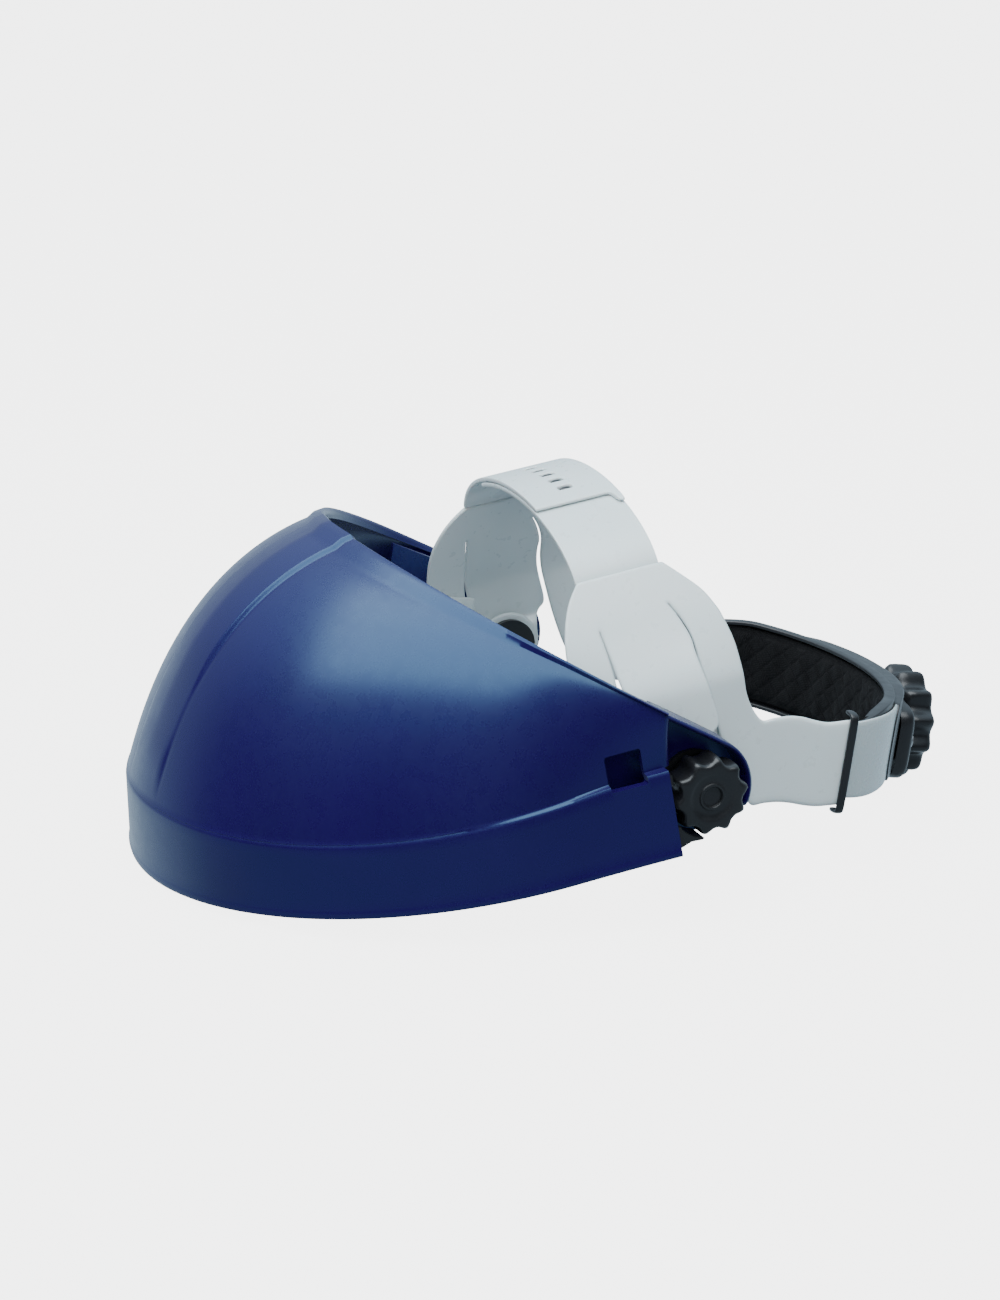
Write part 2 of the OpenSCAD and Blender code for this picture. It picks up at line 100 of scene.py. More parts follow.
def curve_through(points, count):
    """Catmull-Rom curve through given points, sampled evenly by its parameter."""
    points = [Vector(p) for p in points]
    ends = [points[0] * 2 - points[1]] + points + [points[-1] * 2 - points[-2]]
    samples = []
    for k in range(count + 1):
        u = k / count * (len(points) - 1)
        i = min(int(u), len(points) - 2)
        s = u - i
        p0, p1, p2, p3 = ends[i : i + 4]
        samples.append(
            0.5 * (2 * p1 + (p2 - p0) * s + (2 * p0 - 5 * p1 + 4 * p2 - p3) * s**2
                   + (3 * p1 - p0 - 3 * p2 + p3) * s**3)
        )
    return samples


# --- Mesh helpers ---
def new_object(name, verts, faces, place, mirror=False):
    """Mesh object from millimetre points in the frame `place`."""
    mesh = bpy.data.meshes.new(name)
    if mirror:
        verts = [Vector((-v[0], v[1], v[2])) for v in verts]
        faces = [tuple(reversed(face)) for face in faces]
    mesh.from_pydata([place @ Vector(v) for v in verts], [], faces)
    mesh.validate()
    for polygon in mesh.polygons:
        polygon.use_smooth = True
    piece = bpy.data.objects.new(name, mesh)
    bpy.context.collection.objects.link(piece)
    return piece


def grid_faces(rows, cols, closed=False, start=0):
    """Quads over rows x cols points; closed joins the last column to the first."""
    faces = []
    span = cols if closed else cols - 1
    for i in range(rows - 1):
        for j in range(span):
            k = (j + 1) % cols
            faces.append((start + i * cols + j, start + i * cols + k,
                          start + (i + 1) * cols + k, start + (i + 1) * cols + j))
    return faces


def weld(piece, distance=0.000001):
    """Joins points that coincide and turns the faces outwards."""
    mesh = piece.data
    bm = bmesh.new()
    bm.from_mesh(mesh)
    bmesh.ops.remove_doubles(bm, verts=bm.verts, dist=distance)
    bmesh.ops.recalc_face_normals(bm, faces=bm.faces)
    bm.to_mesh(mesh)
    bm.free()
    for polygon in mesh.polygons:
        polygon.use_smooth = True


def modifier(piece, kind, **values):
    """Adds a modifier and sets its values."""
    mod = piece.modifiers.new(kind.title(), kind)
    for key, value in values.items():
        setattr(mod, key, value)


def apply_modifiers(piece):
    """Replaces the mesh by what its modifiers make of it."""
    graph = bpy.context.evaluated_depsgraph_get()
    mesh = bpy.data.meshes.new_from_object(piece.evaluated_get(graph))
    piece.modifiers.clear()
    piece.data = mesh


def bevelled(piece, width_mm):
    """Rounds the sharp edges."""
    modifier(piece, "BEVEL", width=width_mm * 0.001, segments=3, limit_method="ANGLE",
             angle_limit=math.radians(35), harden_normals=False)
    smooth_by_angle(piece)


def smooth_by_angle(piece, angle=40):
    """Smooth faces whose sharp edges stay sharp, stored in the mesh."""
    mesh = piece.data
    for polygon in mesh.polygons:
        polygon.use_smooth = True
    bm = bmesh.new()
    bm.from_mesh(mesh)
    for edge in bm.edges:
        if len(edge.link_faces) == 2:
            edge.smooth = edge.calc_face_angle(0) < math.radians(angle)
    bm.to_mesh(mesh)
    bm.free()


# --- Materials ---
def node_material(name):
    """New material, as (material, tree, shader, object coordinates)."""
    material = bpy.data.materials.new(name)
    material.use_nodes = True
    tree = material.node_tree
    shader = tree.nodes["Principled BSDF"]
    coords = tree.nodes.new("ShaderNodeTexCoord")
    return material, tree, shader, coords.outputs["Object"]


def noise(tree, coords, scale, detail=3.0, roughness=0.5):
    node = tree.nodes.new("ShaderNodeTexNoise")
    node.inputs["Scale"].default_value = scale
    node.inputs["Detail"].default_value = detail
    node.inputs["Roughness"].default_value = roughness
    tree.links.new(coords, node.inputs["Vector"])
    return node.outputs["Fac"]


def ramp(tree, factor, low, high, start=0.3, stop=0.7):
    """Colour or grey ramp between two RGB triples over a noise value."""
    node = tree.nodes.new("ShaderNodeValToRGB")
    node.color_ramp.elements[0].position = start
    node.color_ramp.elements[1].position = stop
    node.color_ramp.elements[0].color = (*low, 1)
    node.color_ramp.elements[1].color = (*high, 1)
    tree.links.new(factor, node.inputs["Fac"])
    return node.outputs["Color"]


def spread(tree, factor, low, high):
    node = tree.nodes.new("ShaderNodeMapRange")
    node.inputs["From Min"].default_value = 0.3
    node.inputs["From Max"].default_value = 0.7
    node.inputs["To Min"].default_value = low
    node.inputs["To Max"].default_value = high
    tree.links.new(factor, node.inputs["Value"])
    return node.outputs["Result"]


def bump(tree, height, shader, strength, distance, under=None):
    node = tree.nodes.new("ShaderNodeBump")
    node.inputs["Strength"].default_value = strength
    node.inputs["Distance"].default_value = distance
    tree.links.new(height, node.inputs["Height"])
    if under is not None:
        tree.links.new(under, node.inputs["Normal"])
    tree.links.new(node.outputs["Normal"], shader.inputs["Normal"])
    return node.outputs["Normal"]


def moulded(name, low, high, rough, grain, grain_depth, specular=0.5, sss=0.0):
    """Moulded plastic: slow colour drift, uneven gloss, a fine skin texture and faint orange peel."""
    material, tree, shader, coords = node_material(name)
    tree.links.new(ramp(tree, noise(tree, coords, 28, 4), low, high), shader.inputs["Base Color"])
    tree.links.new(spread(tree, noise(tree, coords, 210, 5, 0.6), *rough), shader.inputs["Roughness"])
    shader.inputs["Specular IOR Level"].default_value = specular
    shader.inputs["Subsurface Weight"].default_value = sss
    shader.inputs["Subsurface Scale"].default_value = 0.004
    peel = bump(tree, noise(tree, coords, 60, 1), shader, 0.08, 0.0004)
    bump(tree, noise(tree, coords, grain, 2, 0.5), shader, 0.12, grain_depth, peel)
    return material


def knit(name, low, high, pitch, sheen):
    """Knitted or brushed cloth: crossed threads in the height, fuzz in the sheen."""
    material, tree, shader, coords = node_material(name)
    tree.links.new(ramp(tree, noise(tree, coords, 420, 5, 0.7), low, high), shader.inputs["Base Color"])
    shader.inputs["Roughness"].default_value = 0.88
    shader.inputs["Specular IOR Level"].default_value = 0.15
    shader.inputs["Sheen Weight"].default_value = sheen
    shader.inputs["Sheen Roughness"].default_value = 0.45
    heights = []
    for direction in ("DIAGONAL", "X"):
        wave = tree.nodes.new("ShaderNodeTexWave")
        wave.bands_direction = direction
        wave.inputs["Scale"].default_value = pitch
        wave.inputs["Distortion"].default_value = 1.6
        wave.inputs["Detail"].default_value = 2
        wave.inputs["Detail Scale"].default_value = 3
        tree.links.new(coords, wave.inputs["Vector"])
        heights.append(wave.outputs["Fac"])
    under = bump(tree, heights[0], shader, 0.5, 0.0004)
    under = bump(tree, heights[1], shader, 0.5, 0.0003, under)
    bump(tree, noise(tree, coords, 1800, 2), shader, 0.4, 0.0002, under)
    return material


def metal(name, low, high, rough):
    """Bare steel with fine scratches in its gloss."""
    material, tree, shader, coords = node_material(name)
    shader.inputs["Metallic"].default_value = 1.0
    tree.links.new(ramp(tree, noise(tree, coords, 160, 5), low, high), shader.inputs["Base Color"])
    tree.links.new(spread(tree, noise(tree, coords, 700, 4), *rough), shader.inputs["Roughness"])
    bump(tree, noise(tree, coords, 2600, 2), shader, 0.3, 0.00005)
    return material


BLUE = moulded("crown_plastic", (0.0068, 0.0008, 0.045), (0.0080, 0.0011, 0.052), (0.25, 0.31),
               1500, 0.000004, specular=0.62)
BLUE.node_tree.nodes["Principled BSDF"].inputs["Specular Tint"].default_value = (0.36, 0.74, 1.0, 1)
GREY = moulded("strap_plastic", (0.52, 0.585, 0.59), (0.55, 0.615, 0.62), (0.26, 0.33), 900, 0.00002,
               specular=0.55, sss=0.05)
# Same grey strap plastic as GREY, made darker as painted shade on the tail where it curves away towards the
# rear.
SHADED_TAIL_GREY = moulded("strap_tail_shaded_grey", (0.36, 0.42, 0.43), (0.39, 0.45, 0.46), (0.24, 0.30), 900, 0.00002,
                    specular=0.55, sss=0.05)
BLACK = moulded("black_plastic", (0.006, 0.0063, 0.0075), (0.0095, 0.010, 0.0115), (0.28, 0.42), 900, 0.00003)
SMOKE = moulded("housing_plastic", (0.008, 0.0085, 0.010), (0.012, 0.0125, 0.0145), (0.30, 0.42),
                900, 0.00004)
ACETAL = moulded("gear_acetal", (0.70, 0.69, 0.64), (0.76, 0.75, 0.70), (0.35, 0.45), 1500, 0.00005)
QUILT = knit("quilted_cloth", (0.0022, 0.0022, 0.0026), (0.0045, 0.0045, 0.0052), 620, 0.02)
TOWEL = knit("brow_cloth", (0.045, 0.048, 0.055), (0.075, 0.08, 0.09), 480, 0.6)
STEEL = metal("plain_steel", (0.48, 0.48, 0.49), (0.62, 0.62, 0.63), (0.28, 0.42))


def dress(piece, material, slot_name, body, *nodes):
    """Gives a finished piece its material, hides its CAD nodes and attaches it to its body, if any; slot_name
    is not used.
    """
    piece.data.materials.clear()
    piece.data.materials.append(material)
    if nodes:
        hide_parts(*nodes)
    if body:
        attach(piece, body)
    return piece


# --- Crown: same driving sizes as the CAD, with a finer surface ---
HALF_W, REACH, MID_Y, REAR_Y = 109.8, 114.8, -50.0, -14.0
BAND_REAR, BAND_FRONT, BAND_DIP, DRAFT, WALL = 28.7, 26.2, 3.2, 3.1, 2.4
RIM_Y, RIM_Z, RIM_W, RIM_DEPTH, RIM_SLOPE = -77.0, 97.5, 103.8, 96.5, math.radians(37.8)
STRAIGHT = 0.13
SPINE_W, SPINE_H = 15.5, 1.0


def band_plan(t, inset):
    """Plan of the band from its left end (t = 0) round the front to the right (1), moved in by inset."""
    side = 1 if t <= 0.5 else -1
    f = min(t, 1 - t)
    if f < STRAIGHT:
        u = 1 - f / STRAIGHT
        return side * (HALF_W + 1.05 * u * u - inset), mix(MID_Y, REAR_Y, u)
    a = (f - STRAIGHT) / (0.5 - STRAIGHT) * math.pi / 2
    return side * (HALF_W - inset) * math.cos(a), MID_Y - (REACH - inset) * math.sin(a)


def band_top(t):
    """Height of the band's upper edge."""
    a = math.pi * min(t, 1 - t)
    return mix(BAND_REAR, BAND_FRONT, math.sin(a) ** 2) - BAND_DIP * math.sin(2 * a) ** 2


def ledge(t):
    """How far the dome's foot stands in from the band's lower edge."""
    return DRAFT + 0.6 + 3 * max(0, 1 - min(t, 1 - t) / 0.21) ** 1.5


def rim(t):
    """Point of the dome's upper rim, on its sloping plane."""
    a = math.radians(7 + 83 * min(t, 1 - t) / 0.5)
    x = RIM_W * math.cos(a)
    q = RIM_DEPTH * (1 - math.sin(a)) - 3.9 * max(0, 1 - x / 60) ** 2
    side = 1 if t <= 0.5 else -1
    return Vector((side * x, RIM_Y + q * math.cos(RIM_SLOPE), RIM_Z - q * math.sin(RIM_SLOPE)))


def dome(t, v):
    """Point of the dome from its foot (v = 0) to its rim (1), on a cubic curve."""
    x, y = band_plan(t, ledge(t))
    p0, p3 = Vector((x, y, band_top(t))), rim(t)
    h = p3.z - p0.z
    p1 = p0 + Vector((0.16 * (p3.x - p0.x), 0.16 * (p3.y - p0.y), 0.41 * h))
    p2 = p3 + Vector((0.415 * (p0.x - p3.x), 0.557 * (p0.y - p3.y), -0.084 * h))
    w = 1 - v
    return w**3 * p0 + 3 * w * w * v * p1 + 3 * w * v * v * p2 + v**3 * p3


def dome_normal(t, v):
    dt = dome(min(1, t + 0.003), v) - dome(max(0, t - 0.003), v)
    dv = dome(t, min(1, v + 0.01)) - dome(t, max(0, v - 0.01))
    return dv.cross(dt).normalized()


def band_normal(t):
    x0, y0 = band_plan(min(1, t + 0.003), 0)
    x1, y1 = band_plan(max(0, t - 0.003), 0)
    return Vector((y0 - y1, x1 - x0, 0)).normalized() * (-1)


def spine_raise(p, z_low):
    """Height of the raised centre strip, with a shallow groove along its border."""
    side = abs(p.x)
    strong = 0.2 + 0.8 * max(smooth(58, 76, p.z), 0.35 - 0.35 * smooth(z_low + 14, z_low + 24, p.z))
    up = SPINE_H * strong * (1 - smooth(SPINE_W - 1.4, SPINE_W + 0.2, side))
    groove = 0.15 * strong * math.exp(-(((side - SPINE_W - 0.7) / 0.6) ** 2))
    return (up - groove) * smooth(z_low + 0.5, z_low + 14, p.z)


def crown_profile(t):
    """Closed cross-section of the wall: up the outside, over the rim bead, down the inside."""
    out = band_normal(t)
    x, y = band_plan(t, 0)
    top = band_top(t)
    outer = []
    for z, proud in ((0.0, -0.5), (0.35, 0.15), (1.2, 0.35), (2.4, 0.1), (3.2, 0.0)):
        outer.append(Vector((x, y, z)) - out * (DRAFT * z / top - proud))
    for k in range(1, 8):
        z = mix(3.2, top - 1.4, k / 7)
        outer.append(Vector((x, y, z)) - out * (DRAFT * z / top))
    foot = dome(t, 0)
    edge = Vector((x, y, top)) - out * DRAFT
    outer.append(edge - out * 0.12 - Vector((0, 0, 0.55)))
    outer.append(edge - out * 0.5 - Vector((0, 0, 0.05)))
    outer.append(edge.lerp(foot, 0.75) + Vector((0, 0, 0.1)))
    rows = 46
    for k in range(rows + 1):
        v = mix(0.012, 1.0, (k / rows) ** 1.15)
        p, n = dome(t, v), dome_normal(t, v)
        bead = 1.15 * smooth(0.952, 0.968, v)
        outer.append(p + n * (bead + spine_raise(p, top)))
    n = dome_normal(t, 1.0)
    ridge = dome(t, 1.0)
    lift = (dome(t, 1.0) - dome(t, 0.97)).normalized()
    crest = spine_raise(ridge, top)
    bead_round = [ridge + n * (mix(1.15, -WALL, s) + crest * (1 - s)) + lift * 1.0 * math.sin(math.pi * s)
                  for s in (0.12, 0.35, 0.65, 0.88)]
    inner = []
    for k in range(rows, -1, -2):
        v = mix(0.012, 1.0, (k / rows) ** 1.15)
        p, n = dome(t, v), dome_normal(t, v)
        inner.append(p - n * (WALL + 0.5 * smooth(0.955, 0.972, v)))
    for k in (3, 2, 1, 0):
        z = mix(0.4, top - 2.6, k / 3)
        inner.append(Vector((x, y, z)) - out * (DRAFT * z / top + WALL))
    inner.append(Vector((x, y, 0)) - out * (WALL - 0.5))
    return outer + bead_round + inner


def crown_columns(count):
    """Parameter values along the band, closer together at the spine's borders."""
    values = set(k / count for k in range(count + 1))
    fine = 0.5 - 2.2 * SPINE_W / (4 * 180)
    for k in range(-10, 11):
        values.add(fine + k * 0.0013)
        values.add(1 - fine - k * 0.0013)
    ordered = sorted(values)
    return [t for i, t in enumerate(ordered) if i == 0 or t - ordered[i - 1] > 0.0005]


def cut_window(piece, side):
    """Cuts the slot for the window's hook, with rounded corners."""
    bpy.ops.mesh.primitive_cube_add(size=1)
    cutter = bpy.context.object
    size = Matrix.Diagonal((22, 12.5, 11, 1))
    cutter.data.transform(CROWN @ Matrix.Translation((side * 104, -27.3, 31.75)) @ size)
    modifier(cutter, "BEVEL", width=0.0009, segments=3)
    apply_modifiers(cutter)
    modifier(piece, "BOOLEAN", operation="DIFFERENCE", object=cutter, solver="EXACT")
    apply_modifiers(piece)
    bpy.data.objects.remove(cutter)


def make_crown():
    columns = [crown_profile(t) for t in crown_columns(190)]
    ring = len(columns[0])
    verts = [p for column in columns for p in column]
    faces = grid_faces(len(columns), ring, closed=True)
    faces.append(tuple(range(ring)))
    faces.append(tuple(reversed(range((len(columns) - 1) * ring, len(columns) * ring))))
    piece = new_object("crown_moulding", verts, faces, CROWN)
    weld(piece)
    for side in (1, -1):
        cut_window(piece, side)
    smooth_by_angle(piece, 38)
    dress(piece, BLUE, "crown_blue", "crown", "crown_shell")


# --- Crown ears ---
EAR_X, EAR_T, EAR_R = 87.2, 2.5, 17.3


def rim_line(y):
    """Height of the rim's plane at y."""
    return RIM_Z - (y - RIM_Y) * math.tan(RIM_SLOPE)


def lip_path():
    """Down the rim's line and round the knob, in the Y-Z plane."""
    line = [Vector((y, rim_line(y))) for y in (-10.6, -9.6, -6.0, -2.0, 4.0)]
    arc = []
    for k in range(22):
        a = math.radians(mix(90 - 37.8, -48, k / 21))
        arc.append(Vector((EAR_R * math.cos(a), PIVOT_Z + EAR_R * math.sin(a))))
    return line + arc


def lip_mesh():
    """Rounded strip that stands out from the ear along the lip's path."""
    path = lip_path()
    verts, count = [], len(path)
    for i, p in enumerate(path):
        along = (path[min(count - 1, i + 1)] - path[max(0, i - 1)]).normalized()
        inward = Vector((-along.y, along.x)) * -1
        s = i / (count - 1)
        reach = mix(103.3, 100.4, smooth(0, 0.3, s)) - 9.0 * smooth(0.86, 1.0, s)
        for depth, x in ((0, EAR_X + 1), (0, reach - 1.0), (0.25, reach - 0.3), (0.8, reach),
                         (1.35, reach - 0.3), (1.6, reach - 1.0), (1.6, EAR_X + 1)):
            q = p + inward * depth
            verts.append(Vector((x, q.x, q.y)))
    faces = grid_faces(count, 7, closed=True)
    faces.append(tuple(range(7)))
    faces.append(tuple(reversed(range((count - 1) * 7, count * 7))))
    return verts, faces


def return_mesh():
    """Rounded corner where the dome's side turns inwards to the recessed ear."""
    verts, rows, turn = [], 14, 8

    def held(point):
        """Keeps a point under the rim's line."""
        return Vector((point.x, point.y, min(point.z, rim_line(point.y) - 0.3)))

    for i in range(rows + 1):
        v = mix(0.0, 1.0, i / rows)
        p = dome(0, v)
        back = 2.6
        for k in range(turn + 1):
            a = math.pi / 2 * k / turn
            verts.append(held(p + Vector((-back * (1 - math.cos(a)), back * math.sin(a), 0))))
        verts.append(held(Vector((EAR_X + 1.5, p.y + back + 0.6, p.z))))
        verts.append(held(Vector((EAR_X + 1.5, p.y + back - 1.2, p.z))))
        verts.append(held(Vector((p.x - back - 1.0, p.y + back - 1.8, p.z))))
        verts.append(held(Vector((p.x - 2.0, p.y - 0.5, p.z))))
    cols = turn + 5
    faces = grid_faces(rows + 1, cols, closed=True)
    faces.append(tuple(reversed(range(cols))))
    faces.append(tuple(range(rows * cols, (rows + 1) * cols)))
    return verts, faces


def ear_plate_mesh():
    """Flat ear behind the knob, as a ring of outline points round the stud's hole."""
    outline = [Vector((-24.0, 16.0)), Vector((-34.0, 24.0)), Vector((-36.0, 40.0)), Vector((-36.0, 54.0)),
               Vector((-34.0, rim_line(-34) - 4)), Vector((-13.0, rim_line(-13) - 1.5))]
    outline += lip_path()[1:]
    for k in range(1, 14):
        a = math.radians(mix(-48, -150, k / 13))
        outline.append(Vector((EAR_R * math.cos(a), PIVOT_Z + EAR_R * math.sin(a))))
    outline.append(Vector((-15.2, 17.0)))
    verts, count = [], len(outline)
    for x in (EAR_X, EAR_X + EAR_T):
        for p in outline:
            verts.append(Vector((x, p.x, p.y)))
        for p in outline:
            a = math.atan2(p.y - PIVOT_Z, p.x)
            verts.append(Vector((x, 3.1 * math.cos(a), PIVOT_Z + 3.1 * math.sin(a))))
    faces = []
    for j in range(count):
        k = (j + 1) % count
        faces.append((j, k, count + k, count + j))
        faces.append((2 * count + j, 3 * count + j, 3 * count + k, 2 * count + k))
        faces.append((j, 2 * count + j, 2 * count + k, k))
        faces.append((count + j, count + k, 3 * count + k, 3 * count + j))
    return verts, faces


def make_ear(side, label):
    verts, faces = [], []
    for part_verts, part_faces in (ear_plate_mesh(), lip_mesh(), return_mesh()):
        start = len(verts)
        verts += part_verts
        faces += [tuple(start + i for i in face) for face in part_faces]
    piece = new_object("crown_ear_" + label, verts, faces, CROWN, mirror=side < 0)
    weld(piece)
    smooth_by_angle(piece, 50)
    dress(piece, BLUE, "crown_blue", "crown", label + "_ear")


GUSSET_IN, GUSSET_OUT, GUSSET_CLEAR = 96.0, 106.2, 14.1


def make_gusset(side, label):
    """Web of the pivot arm: from the band's end along the knob's edge, just clear of it."""
    outline = [Vector((-14.6, 0.7)), Vector((-12.9, 0.7)), Vector((-8.5, 2.0)), Vector((-4.6, 1.7))]
    for k in range(13):
        a = math.radians(mix(-106, -196, k / 12))
        outline.append(Vector((GUSSET_CLEAR * math.cos(a), PIVOT_Z + GUSSET_CLEAR * math.sin(a))))
    outline.append(Vector((-15.6, 20.0)))
    count = len(outline)
    verts = [Vector((x, p.x, p.y)) for x in (GUSSET_IN, GUSSET_OUT) for p in outline]
    faces = [(j, (j + 1) % count, count + (j + 1) % count, count + j) for j in range(count)]
    faces += [tuple(reversed(range(count))), tuple(range(count, 2 * count))]
    piece = new_object("pivot_arm_web_" + label, verts, faces, CROWN, mirror=side < 0)
    bevelled(piece, 0.3)
    dress(piece, BLACK, "black_plastic", "crown")


# --- Knobs ---
def lobed_rings(profile, lobes, fullness, per_lobe=16):
    """Rings round +Z, each (height, radius, lobe height). Fullness over 1 makes slim lobes."""
    verts, count = [], lobes * per_lobe
    for z, r, lobe in profile:
        for k in range(count):
            a = 2 * math.pi * k / count
            wave = (0.5 - 0.5 * math.cos(lobes * a)) ** fullness
            rr = r + lobe * (wave - 1)
            verts.append(Vector((rr * math.cos(a), rr * math.sin(a), z)))
    return verts, count


def knob_piece(name, profile, lobes, place, fullness=0.55):
    """Closed turned piece with lobes on its rim."""
    verts, count = lobed_rings(profile, lobes, fullness)
    faces = [tuple(reversed(face)) for face in grid_faces(len(profile), count, closed=True)]
    last = (len(profile) - 1) * count
    faces.append(tuple(range(count)))
    faces.append(tuple(reversed(range(last, last + count))))
    piece = new_object(name, verts, faces, place)
    weld(piece)
    smooth_by_angle(piece, 42)
    return piece


KNOB_SEAT = 91.9
TENSION_LOBES, RATCHET_LOBES = 10, 12
TENSION_PROFILE = [
    (0.0, 9.2, 0), (0.4, 9.4, 0), (3.4, 9.5, 0), (3.9, 10.2, 0.2), (4.3, 11.8, 1.2), (4.8, 12.7, 1.75),
    (5.8, 13.05, 1.9), (8.0, 13.2, 2.0), (11.0, 13.2, 2.0), (13.6, 13.05, 1.9), (14.7, 12.75, 1.8),
    (15.4, 12.2, 1.55), (15.75, 11.4, 1.2), (15.9, 10.2, 0.7), (15.9, 8.6, 0.15), (15.75, 7.6, 0),
    (15.3, 6.9, 0), (15.2, 5.2, 0), (15.3, 4.6, 0), (15.75, 4.35, 0), (15.75, 3.6, 0), (15.3, 3.3, 0),
    (14.6, 3.2, 0), (14.5, 1.6, 0),
]


def make_tension_knob(side, label):
    seat = Matrix.Translation((side * KNOB_SEAT, 0, PIVOT_Z))
    place = CROWN @ seat @ Matrix.Rotation(side * math.pi / 2, 4, "Y")
    piece = knob_piece("tension_knob_" + label, TENSION_PROFILE, TENSION_LOBES, place, 1.5)
    dress(piece, BLACK, "black_plastic", label + "_knob", label + "_tension_knob")


RATCHET_PROFILE = [
    (112.6, 5.9, 0), (118.0, 5.9, 0), (118.0, 12.5, 0), (118.3, 15.2, 0.4), (118.8, 17.6, 1.6),
    (119.6, 19.2, 2.3), (120.8, 20.1, 2.7), (122.8, 20.3, 2.8), (126.4, 20.3, 2.8), (128.2, 20.0, 2.7),
    (129.2, 19.3, 2.4), (129.8, 18.2, 1.9), (130.0, 16.6, 1.1), (129.9, 14.2, 0.3), (129.4, 12.6, 0),
    (128.4, 11.6, 0), (128.0, 10.0, 0), (128.0, 6.4, 0), (128.3, 5.6, 0), (129.0, 5.2, 0), (129.0, 3.4, 0),
    (128.6, 3.0, 0), (127.8, 2.6, 0),
]


def make_ratchet_knob():
    piece = knob_piece("ratchet_knob_moulding", RATCHET_PROFILE, RATCHET_LOBES, KNOB, 1.2)
    dress(piece, BLACK, "black_plastic", "knob", "ratchet_knob")


# --- Temple mouldings: plate with two slits, flowing into the side strap ---
RING_W, STRAP_T = 73.0, 1.6
PLATE_TOP, PLATE_FOOT = 78.0, 40.0
TONGUE_X = 75.0
CREASE_Z = 78.9


def plate_x(z):
    """The temple plate leans in above PLATE_FOOT."""
    return RING_W - 21 * clamp((z - PLATE_FOOT) / (PLATE_TOP - PLATE_FOOT), 0, 1.05) ** 1.3


def tongue_bow(s):
    """How far the tongue stands off the plate, from its root (0) to the boss it folds back to (1)."""
    fold = smooth(0.80, 0.90, s)
    return mix(4.6 * smooth(0.05, 0.78, s) ** 1.2, TONGUE_X - RING_W, fold)


def strap_edge(y, top):
    """Wavy upper or lower edge of the side strap, given in the crown's frame."""
    wave = math.cos(2 * math.pi * (y - 43) / 26)
    z = 15.1 + 0.9 * wave if top else -15.0 + 0.6 * wave
    p = RING_TO_CROWN @ Vector((0, y, z))
    return (p.y, p.z)


FRONT_EDGE = [(-16.2, 78), (-20.8, 73.6), (-24.4, 68.4), (-27.0, 62.6), (-28.4, 56), (-29.0, 46), (-29.2, 34),
              (-29.0, 22), (-28.4, 12)]
FRONT_SLIT = [(-14.4, 63.4), (-14.1, 58), (-14.0, 50), (-14.2, 42), (-14.6, 30), (-15.0, 20), (-15.0, 9)]
TONGUE_FRONT = [(-14.4, 63.4), (-14.0, 58), (-13.7, 50), (-13.1, 42), (-12.0, 30), (-11.6, 22),
                (-12.0, PIVOT_Z)]
TONGUE_REAR = [(11.0, 66.6), (13.4, 61.6), (15.2, 55.4), (15.0, 51), (15.3, 45), (16.4, 36), (17.2, 28),
               (14.6, 25), (12.4, 20.5), (12.0, PIVOT_Z)]
REAR_SLIT = [(11.0, 66.6), (13.7, 61.5), (15.5, 55.2), (15.5, 47), (16.6, 36), (18.0, 24), (20.6, 11),
             (24.2, 1.5)]
REAR_EDGE = [(14.0, 78), (19.4, 72.8), (24.6, 67.2), (27.9, 60.6), (29.5, 51.5), (29.7, 41), (30.2, 31.5)]


def between(a, b, columns, lift=None):
    """Rows of points ruled between two curves on the plate, with an optional lift."""
    rows = []
    for i, (p, q) in enumerate(zip(a, b)):
        off = lift(i / (len(a) - 1)) if lift else 0
        row = [p.lerp(q, j / columns) for j in range(columns + 1)]
        rows.append([Vector((plate_x(r.y) + off, r.x, r.y)) for r in row])
    return rows


